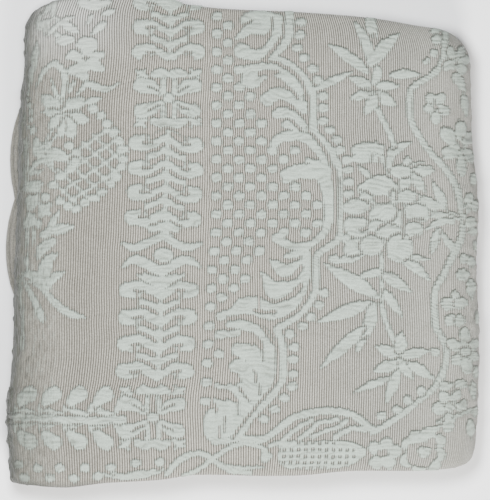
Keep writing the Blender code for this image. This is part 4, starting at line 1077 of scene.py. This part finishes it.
def build_face(puff_height):
    """The raised face: the top ply's outer side, with its turns, lifted a hair and puffed by the chart.

    Figures are read at the middle of the nearest rib, so that their edges are stepped. Furrows narrow them,
    and the relief fades out at the face's ends and on the parts that lie under the turns."""
    half = CLOTH_THICK / 2
    outer = PLY_PITCH * 1.5 + half
    first = LONG_STARTS[1] + WRAP_SHARE * LONG_WAY[1].length
    last = LONG_STARTS[4] + LEFT_REACH
    low, high = CROSS_STARTS[1] - NEAR_REACH, CROSS_STARTS[4] + FAR_REACH
    lengths = stations(LONG_STARTS, LONG_WAY, first, last, FACE_STEP_ACROSS, FACE_STEP_ACROSS, outer)
    widths = stations(CROSS_STARTS, CROSS_WAY, low, high, FACE_STEP_ALONG, FACE_STEP_ALONG, half)
    length, width = np.meshgrid(lengths, widths)
    base = cloth_points(length, width, np.full(length.shape, half))
    column = CHART_COLUMN + (base[..., 0] - MIDDLE_SHIFT[0]) / SQUARE
    column = column + outward_drift(LONG_WAY, LONG_STARTS, 2, lengths, outer)[None, :]
    row = CHART_ROW - (base[..., 1] - MIDDLE_SHIFT[1]) / SQUARE
    row = row - outward_drift(CROSS_WAY, CROSS_STARTS, 2, widths, half)[:, None]
    rib, pitch = ribs_along(lengths, widths, column, row, outer)
    snapped = column + TOOTH_REACH * (np.round(rib) - rib) * pitch
    ragged = row + waver(np.round(rib), row, TOOTH_WAVER)
    distance, cord = figures(snapped, ragged, rib)
    cord = smooth((0.8 - cord) / 1.2)
    furrow = puckers(column, row) * (1.0 - cord) + twist(column, row) * cord
    distance = distance + (FURROW_BITE + BORDER_BITE * border(column) * (1.0 - 0.5 * cord)) * furrow
    distance = distance - GARLAND_GROWTH * smooth((column - GARLAND_COLUMN) / GARLAND_WIDE) * (1.0 - cord)
    # Mask for a painted shadow: how far each figure's edge faces up and left
    shade = far_side(column, row, distance)
    # Mask for painted shade on cloth turning down at the left: how far its normal leans from upward
    facing = np.abs(outward_normals(base)[..., 2])
    turn = sum(share * smooth((level - facing) / over) for share, level, over in TURN_SHADES)
    turn = turn * smooth((120.0 - column) / 40.0)
    furrow = furrow * smooth((0.5 - distance) / 1.8)
    rise = relief(column, row, distance, furrow, puff_height)
    ends = np.minimum.reduce([
        smooth((length - first) / FACE_END), smooth((last - length) / FACE_END),
        smooth((width - low) / (FACE_END * 0.7)), smooth((high - width) / (FACE_END * 0.6)),
    ])
    near_turn, far_turn, left_turn = CROSS_WAY[1].length, CROSS_WAY[3].length, LONG_WAY[3].length
    under_near = smooth((CROSS_STARTS[2] - UNDER_NEAR[0] * near_turn - width) / (UNDER_NEAR[1] * near_turn))
    under_far = smooth((width - CROSS_STARTS[3] - UNDER_FAR[0] * far_turn) / (UNDER_FAR[1] * far_turn))
    under_left = smooth((length - LONG_STARTS[3] - UNDER_LEFT[0] * left_turn) / (UNDER_LEFT[1] * left_turn))
    shown = (1.0 - under_near) * (1.0 - under_far) * (1.0 - under_left)
    offset = half + (FACE_LIFT + FACE_SINK) * ends - FACE_SINK + np.maximum(rise, -FACE_LIFT * 0.7) * shown * ends
    points = cloth_points(length, width, offset)
    cloth = np.stack([rib, row / UV_ROWS], axis=-1)
    normals = outward_normals(points)
    marks = {"figure": distance, "furrow": furrow, "shade": shade, "turn": turn}
    pieces = []
    edges = np.linspace(0, len(lengths) - 1, FACE_STRIPS + 1).round().astype(int)
    for number, (left, right) in enumerate(zip(edges, edges[1:])):
        part = slice(left, right + 1)
        pieces.append(new_mesh(
            f"bedspread_face_{number + 1}", points[:, part].reshape(-1, 3),
            grid_quads(len(widths), right - left + 1)[:, ::-1], cloth[:, part].reshape(-1, 2),
            {name: values[:, part].ravel() for name, values in marks.items()}, normals[:, part].reshape(-1, 3)))
    return pieces


# ---- materials

class Wire:
    """A socket that carries a number; the usual operators add Math nodes."""

    def __init__(self, board, socket):
        self.board, self.socket = board, socket

    def _pair(self, operation, other, turned=False):
        return self.board.maths(operation, other, self) if turned else self.board.maths(operation, self, other)

    def __add__(self, other):
        return self._pair("ADD", other)

    __radd__ = __add__

    def __sub__(self, other):
        return self._pair("SUBTRACT", other)

    def __rsub__(self, other):
        return self._pair("SUBTRACT", other, True)

    def __mul__(self, other):
        return self._pair("MULTIPLY", other)

    __rmul__ = __mul__

    def __truediv__(self, other):
        return self._pair("DIVIDE", other)

    def __pow__(self, other):
        return self._pair("POWER", other)


class Board:
    """A material's node tree, with one method for any node and short ones for maths and mixing."""

    def __init__(self, name):
        self.material = bpy.data.materials.new(name)
        self.material.use_nodes = True
        self.tree = self.material.node_tree
        self.shader = self.tree.nodes["Principled BSDF"]

    def feed(self, socket, value):
        if isinstance(value, Wire):
            self.tree.links.new(value.socket, socket)
        else:
            socket.default_value = value

    def node(self, kind, settings=None, inputs=None, output=0):
        made = self.tree.nodes.new(kind)
        for name, value in (settings or {}).items():
            setattr(made, name, value)
        for name, value in (inputs or {}).items():
            self.feed(made.inputs[name], value)
        return Wire(self, made.outputs[output])

    def maths(self, operation, *values, clamp=False):
        return self.node("ShaderNodeMath", {"operation": operation, "use_clamp": clamp}, dict(enumerate(values)))

    def step(self, value, low, high):
        return self.node("ShaderNodeMapRange", {"interpolation_type": "SMOOTHSTEP"},
                         {"Value": value, "From Min": low, "From Max": high})

    def blend(self, share, first, second):
        first, second = (value if isinstance(value, Wire) else tuple(value) + (1.0,) for value in (first, second))
        return self.node("ShaderNodeMix", {"data_type": "RGBA"}, {0: share, 6: first, 7: second}, output=2)

    def noise(self, where, scale, detail=2.0, roughness=0.5):
        """Noise on coordinates that are scaled first, in cells to the metre."""
        scaled = self.node("ShaderNodeMapping", {"vector_type": "POINT"}, {"Vector": where, "Scale": scale})
        return self.node("ShaderNodeTexNoise", {}, {"Vector": scaled, "Scale": 1.0, "Detail": detail,
                                                    "Roughness": roughness})

    def part(self, where, axis):
        return self.node("ShaderNodeSeparateXYZ", {}, {0: where}, output=axis)

    def mark(self, name):
        return self.node("ShaderNodeAttribute", {"attribute_name": name}, output=2)

    def finish(self, values):
        """Set or link the shader's own sockets."""
        for name, value in values.items():
            self.feed(self.shader.inputs[name], value)
        return self.material


def cloth_material(name, looks, charted):
    """Matelasse cotton: a ribbed ground with dark valleys, smooth cool figures, puckers, fine weave and sheen.

    The rib number is the first cloth coordinate. A rib's ridge is the cosine of its number; its dark line is
    the narrow part round the valley, darker where it meets a figure. The figures' distance comes from the
    face's attribute, or on the layers from a lattice of dots in cloth coordinates."""
    board = Board(name)
    where = board.node("ShaderNodeUVMap", {"uv_map": "cloth"})
    object_place = board.node("ShaderNodeTexCoord", output=3)
    rib, down = board.part(where, 0), board.part(where, 1)
    aside, away = board.part(object_place, 0), board.part(object_place, 1)
    if charted:
        distance, furrow, shade, turn = (board.mark(mark) for mark in ("figure", "furrow", "shade", "turn"))
        plain_hem, left_turn = 0.0, 0.50
    else:
        across, along = rib / PLY_DOT_RIBS, down * UV_ROWS / PLY_DOT_ROW
        p, q = (across + along) * 0.5, (across - along) * 0.5
        dx = board.maths("ABSOLUTE", p - board.maths("ROUND", p) + (q - board.maths("ROUND", q)))
        dy = board.maths("ABSOLUTE", p - board.maths("ROUND", p) - (q - board.maths("ROUND", q)))
        plain_hem, left_turn = board.mark("hem"), 0.0
        distance = board.maths("MAXIMUM", dx * PLY_DOT_COLUMN - PLY_DOT_HALF[0],
                               dy * PLY_DOT_ROW - PLY_DOT_HALF[1]) + 0.5
        distance = board.maths("MAXIMUM", distance, plain_hem * 9.0 - 4.0)
        furrow = board.step(distance, -0.5, -3.0) * 0.3
        # Painted shade on the plies towards the left fold
        shade, turn = 0.0, board.step(aside, -0.198, -0.240) * 0.26
    phase = board.maths("COSINE", rib * (2 * math.pi))
    grain = board.noise(object_place, (720.0, 640.0, 700.0), 2.0, 0.6)
    coarse = board.noise(object_place, (55.0, 55.0, 55.0))
    streak = board.noise(object_place, (62.0, 380.0, 160.0), 3.0, 0.55)
    # parts of the bundle, by place
    right = board.step(aside, 0.0, 0.20)
    left = board.step(aside, -0.125, -0.165)
    fold = board.step(aside, -0.185, -0.225)
    calm = fold * 0.5 + board.step(aside, 0.16, 0.225) * 0.35
    # Painted light: a mask that makes the far left corner paler, as if more light fell there
    far_corner_light = board.step(aside, -0.09, -0.19) * board.step(away, 0.170, 0.255) * 0.70
    # figures and ribs, by their distance and number
    figure = board.step(distance - phase * 0.7 + (grain - 0.5) * 1.2, 0.85, 0.0)
    near_edge = board.step(board.maths("ABSOLUTE", distance - 1.2), 2.4, 0.4)
    ridge = board.step(phase + (grain - 0.5) * 0.8, -0.64, 0.70)
    valley = 1.0 - ridge
    # ribbed ground
    dark = looks.line_colour
    depth = 0.78 - left * 0.03 + near_edge * (1.0 - right * 0.6 - left * 0.4) * 0.10
    line = valley * depth * (1.0 - plain_hem * 0.6) * (1.0 - calm)
    pale = board.blend(right * 0.7, looks.rib_colour, looks.rib_cool)
    # Grain varies the ridges' tone at random; the rest is painted shade, darker towards the left and in the calm
    # bands at the left fold and right edge
    tone_and_side_shade = board.step(grain, 0.70, 0.32) * 0.30 + board.step(aside, -0.08, -0.18) * 0.22 + calm * 0.20
    # Painted light: the ground paler towards the far left corner
    pale = board.blend(far_corner_light, board.blend(tone_and_side_shade, pale, dark), looks.corner_light_colour)
    seam = near_edge * valley * (1.0 - right * 0.7 - left * 0.3) * 0.20
    ground = board.blend(seam, board.blend(line, pale, dark), looks.seam_colour)
    # smooth figures
    # Grain varies the figures' tone at random; streaked creases and furrows get painted shade, and the deepest
    # furrows a painted dark line
    crease = board.step(streak, 0.47, 0.36) * board.step(distance, -0.8, -3.0)
    grain_and_crease_shade = board.step(grain, 0.72, 0.34) * 0.5 + crease * 0.3 + furrow * 0.8
    plain = board.blend(grain_and_crease_shade, looks.figure_colour, looks.figure_shade)
    plain = board.blend(board.step(furrow, 0.60, 0.92) * 0.32, plain, looks.edge_shade)
    # Painted light at the far left corner, on the figures too
    plain = board.blend(far_corner_light * 0.5, plain, looks.corner_light_colour)
    plain = board.blend(board.step(distance, -1.4, 0.6) * valley * (0.5 - right * 0.2), plain, dark)
    colour = board.blend(figure, ground, plain)
    # painted shade on the figures' far edges and grooves, mottle with painted shade at the right edge, and painted
    # light and shade on the left fold
    upper_edge = board.step(board.maths("ABSOLUTE", distance - 0.3), 1.8, 0.3) * shade
    outline = board.step(board.maths("ABSOLUTE", distance - 0.7), 1.0, 0.2) * 0.16
    colour = board.blend(upper_edge * (0.32 + right * 0.43) + outline, colour, looks.edge_shade)
    # Coarse noise mottles the colour at random; the step towards the right edge is painted shade where the cloth
    # turns down
    mottle = board.step(coarse, 0.64, 0.36) * 0.08 + board.step(aside, 0.185, 0.262) * 0.16
    colour = board.blend(mottle, colour, dark)
    wrinkle = board.noise(object_place, (400.0, 90.0, 260.0))
    # Painted highlights and painted shade on the wrinkles of the left fold
    if charted:
        colour = board.blend(fold * board.step(wrinkle, 0.54, 0.68) * 0.22, colour, looks.figure_colour)
        colour = board.blend(fold * board.step(wrinkle, 0.48, 0.34) * 0.35, colour, dark)
    # Painted shade on cloth that turns down at the left fold, and at the very left edge
    colour = board.blend(turn + board.step(aside, -0.194, -0.242) * left_turn, colour, looks.fold_shade)
    # height
    rib_height = (phase * 0.5 + 0.5) ** 0.7
    weave = board.noise(object_place, (900.0, 620.0, 900.0), 2.0, 0.6)
    height = (1.0 - figure) * rib_height * (1.0 - calm) * 0.75 + figure * (0.62 + streak * 0.75)
    height = height + weave * 0.12 + grain * 0.10 + fold * wrinkle * 1.6
    bump = board.node("ShaderNodeBump", {}, {"Strength": 1.0, "Distance": 0.0013, "Height": height})
    return board.finish({"Base Color": colour, "Normal": bump, "Roughness": 0.84 + weave * 0.12,
                         "Sheen Weight": 0.18, "Sheen Roughness": 0.5, "Specular IOR Level": 0.25})


def floor_material(looks):
    """Matt pale paper with a very faint mottle."""
    board = Board("pale_floor")
    mottle = board.noise(board.node("ShaderNodeTexCoord", output=3), (9.0, 9.0, 9.0), 3.0)
    pale = looks.floor_colour
    tint = board.blend(mottle * 0.3, pale, tuple(value * 0.985 for value in pale))
    return board.finish({"Base Color": tint, "Roughness": 0.9, "Specular IOR Level": 0.1})


# ---- add-on

def length_choice(name, description, default, low, high):
    """A length, in metres, that the sidebar offers."""
    return FloatProperty(name=name, description=description, default=default, min=low, max=high,
                         subtype="DISTANCE", unit="LENGTH")


def colour_choice(name, description, default):
    """A colour that the sidebar offers."""
    return FloatVectorProperty(name=name, description=description, default=default, min=0.0, max=1.0,
                               subtype="COLOR", size=3)


def power_choice(name, description, default):
    """A lamp's power, in watts, that the sidebar offers."""
    return FloatProperty(name=name, description=description, default=default, min=0.0, max=500.0, unit="POWER")


class BedspreadSizes(bpy.types.PropertyGroup):
    """Sizes a user would change."""

    puff_height: length_choice("Puff height", "Rise of the raised figures", 0.00125, 0.0, 0.003)
    camera_height: length_choice("Camera height", "Camera above the bundle's top", 8.0, 1.0, 20.0)
    view_height: length_choice("Picture height", "Length that the picture's height takes in", 0.550, 0.2, 2.0)


class BedspreadLooks(bpy.types.PropertyGroup):
    """Colours and light a user would change."""

    figure_colour: colour_choice("Figures", "Raised figures", (0.378, 0.444, 0.384))
    figure_shade: colour_choice("Figure shade", "Figures in their puckers", (0.222, 0.252, 0.216))
    rib_colour: colour_choice("Ribs", "Ridges of the ground", (0.452, 0.436, 0.376))
    rib_cool: colour_choice("Ribs, right side", "Ridges of the ground at the right", (0.418, 0.426, 0.380))
    # Painted shade: colour of the shadow on the figures' far edges, their grooves and their deepest furrows
    edge_shade: colour_choice("Far edges", "Far side of a figure's edge", (0.075, 0.080, 0.066))
    # Painted shade: colour of cloth turning down at the left fold
    fold_shade: colour_choice("Left fold", "Cloth turning down at the left fold", (0.046, 0.048, 0.039))
    # Painted light: the paler colour laid on the far left corner
    corner_light_colour: colour_choice("Worn corner", "Paler cloth at the far left corner", (0.67, 0.68, 0.64))
    line_colour: colour_choice("Rib lines", "Valleys between ribs", (0.048, 0.041, 0.029))
    seam_colour: colour_choice("Figure edges", "Rib lines beside a figure", (0.024, 0.020, 0.013))
    floor_colour: colour_choice("Floor", "Floor", (0.93, 0.93, 0.93))
    key_power: power_choice("Key light", "Key light, from the near right", 112.0)
    fill_power: power_choice("Fill light", "Fill light, from above", 60.0)
    room_light: FloatProperty(name="Room light", description="Even light from all round", default=0.22, min=0.0,
                              max=2.0)


class BEDSPREAD_OT_layers(bpy.types.Operator):
    """Build the whole folded cloth as a closed sheet"""

    bl_idname = "bedspread.layers"
    bl_label = "Folded layers"

    def execute(self, context):
        piece = build_layers()
        piece.data.materials.append(cloth_material("matelasse_layers", context.scene.bedspread_looks, False))
        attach(piece, "root")
        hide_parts("bedspread")
        return {"FINISHED"}


class BEDSPREAD_OT_face(bpy.types.Operator):
    bl_idname = "bedspread.face"
    bl_label = "Raised face"

    def execute(self, context):
        layers = bpy.data.objects.get("bedspread_layers")
        if layers is None:
            raise RuntimeError("the layers are built first")
        pieces = build_face(context.scene.bedspread_sizes.puff_height)
        finish = cloth_material("matelasse_face", context.scene.bedspread_looks, True)
        for piece in pieces:
            piece.data.materials.append(finish)
            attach(piece, "root")
        return {"FINISHED"}


Lamp = namedtuple("Lamp", "place target size colour")
KEY_LAMP = Lamp((0.45, -1.9, 1.35), (0.0, 0.0, 0.03), 0.8, (1.0, 0.985, 0.96))
FILL_LAMP = Lamp((-0.24, 0.25, 1.65), (-0.03, 0.0, 0.0), 0.5, (0.97, 0.985, 1.0))
ROOM_COLOUR = (0.96, 0.98, 1.0, 1.0)
FLOOR_HALF, FLOOR_LINES = 3.0, 13
# Chart place at the picture's middle, height of the plane that fills it, and the camera's sensor in millimetres
PICTURE_MIDDLE, PICTURE_PLANE, SENSOR = (245.0, 250.0), 0.070, 36.0


def hang_lamp(name, row, power):
    """A square lamp at its place, turned towards its target."""
    lamp = bpy.data.lights.new(name, "AREA")
    lamp.shape = "SQUARE"
    lamp.size = row.size
    lamp.energy = power
    lamp.color = row.colour
    holder = bpy.data.objects.new(name, lamp)
    holder.location = row.place
    x, y, z = (target - place for target, place in zip(row.target, row.place))
    holder.rotation_euler = (math.atan2(math.hypot(x, y), -z), 0.0, math.atan2(y, x) - math.pi / 2)
    bpy.context.scene.collection.objects.link(holder)


class BEDSPREAD_OT_stage(bpy.types.Operator):
    """Lay the pale floor and set the studio light and the camera"""

    bl_idname = "bedspread.stage"
    bl_label = "Stage"

    def execute(self, context):
        sizes, looks = context.scene.bedspread_sizes, context.scene.bedspread_looks
        x, y = np.meshgrid(*[np.linspace(-FLOOR_HALF, FLOOR_HALF, FLOOR_LINES)] * 2)
        points = np.stack([x, y, np.zeros_like(x)], axis=-1).reshape(-1, 3)
        floor = new_mesh("floor", points, grid_quads(FLOOR_LINES, FLOOR_LINES), points[:, :2] / (2 * FLOOR_HALF))
        floor.data.materials.append(floor_material(looks))
        hang_lamp("key", KEY_LAMP, looks.key_power)
        hang_lamp("fill", FILL_LAMP, looks.fill_power)
        world = bpy.data.worlds.new("room")
        world.use_nodes = True
        backdrop = world.node_tree.nodes["Background"]
        backdrop.inputs["Color"].default_value = ROOM_COLOUR
        backdrop.inputs["Strength"].default_value = looks.room_light
        context.scene.world = world
        lens = bpy.data.cameras.new("camera")
        lens.sensor_width = SENSOR
        lens.lens = SENSOR * sizes.camera_height / sizes.view_height
        camera = bpy.data.objects.new("camera", lens)
        camera.location = ((PICTURE_MIDDLE[0] - CHART_COLUMN) * SQUARE + MIDDLE_SHIFT[0],
                           (CHART_ROW - PICTURE_MIDDLE[1]) * SQUARE + MIDDLE_SHIFT[1],
                           PICTURE_PLANE + sizes.camera_height)
        context.scene.collection.objects.link(camera)
        context.scene.camera = camera
        return {"FINISHED"}


class BEDSPREAD_PT_panel(bpy.types.Panel):
    """Sizes, colours and builders of the bedspread"""

    bl_label = "Folded bedspread"
    bl_idname = "BEDSPREAD_PT_panel"
    bl_space_type = "VIEW_3D"
    bl_region_type = "UI"
    bl_category = "Bedspread"

    def draw(self, context):
        for group in (context.scene.bedspread_sizes, context.scene.bedspread_looks):
            column = self.layout.column()
            for name in group.__annotations__:
                column.prop(group, name)
        for operator in OPERATORS:
            self.layout.operator(operator.bl_idname)


OPERATORS = (BEDSPREAD_OT_layers, BEDSPREAD_OT_face, BEDSPREAD_OT_stage)
CLASSES = (BedspreadSizes, BedspreadLooks) + OPERATORS + (BEDSPREAD_PT_panel,)


def register():
    for made in CLASSES:
        bpy.utils.register_class(made)
    bpy.types.Scene.bedspread_sizes = PointerProperty(type=BedspreadSizes)
    bpy.types.Scene.bedspread_looks = PointerProperty(type=BedspreadLooks)


def unregister():
    del bpy.types.Scene.bedspread_looks
    del bpy.types.Scene.bedspread_sizes
    for made in reversed(CLASSES):
        bpy.utils.unregister_class(made)


def main():
    register()
    bpy.ops.bedspread.layers()
    bpy.ops.bedspread.face()
    bpy.ops.bedspread.stage()


if __name__ == "__main__":
    main()
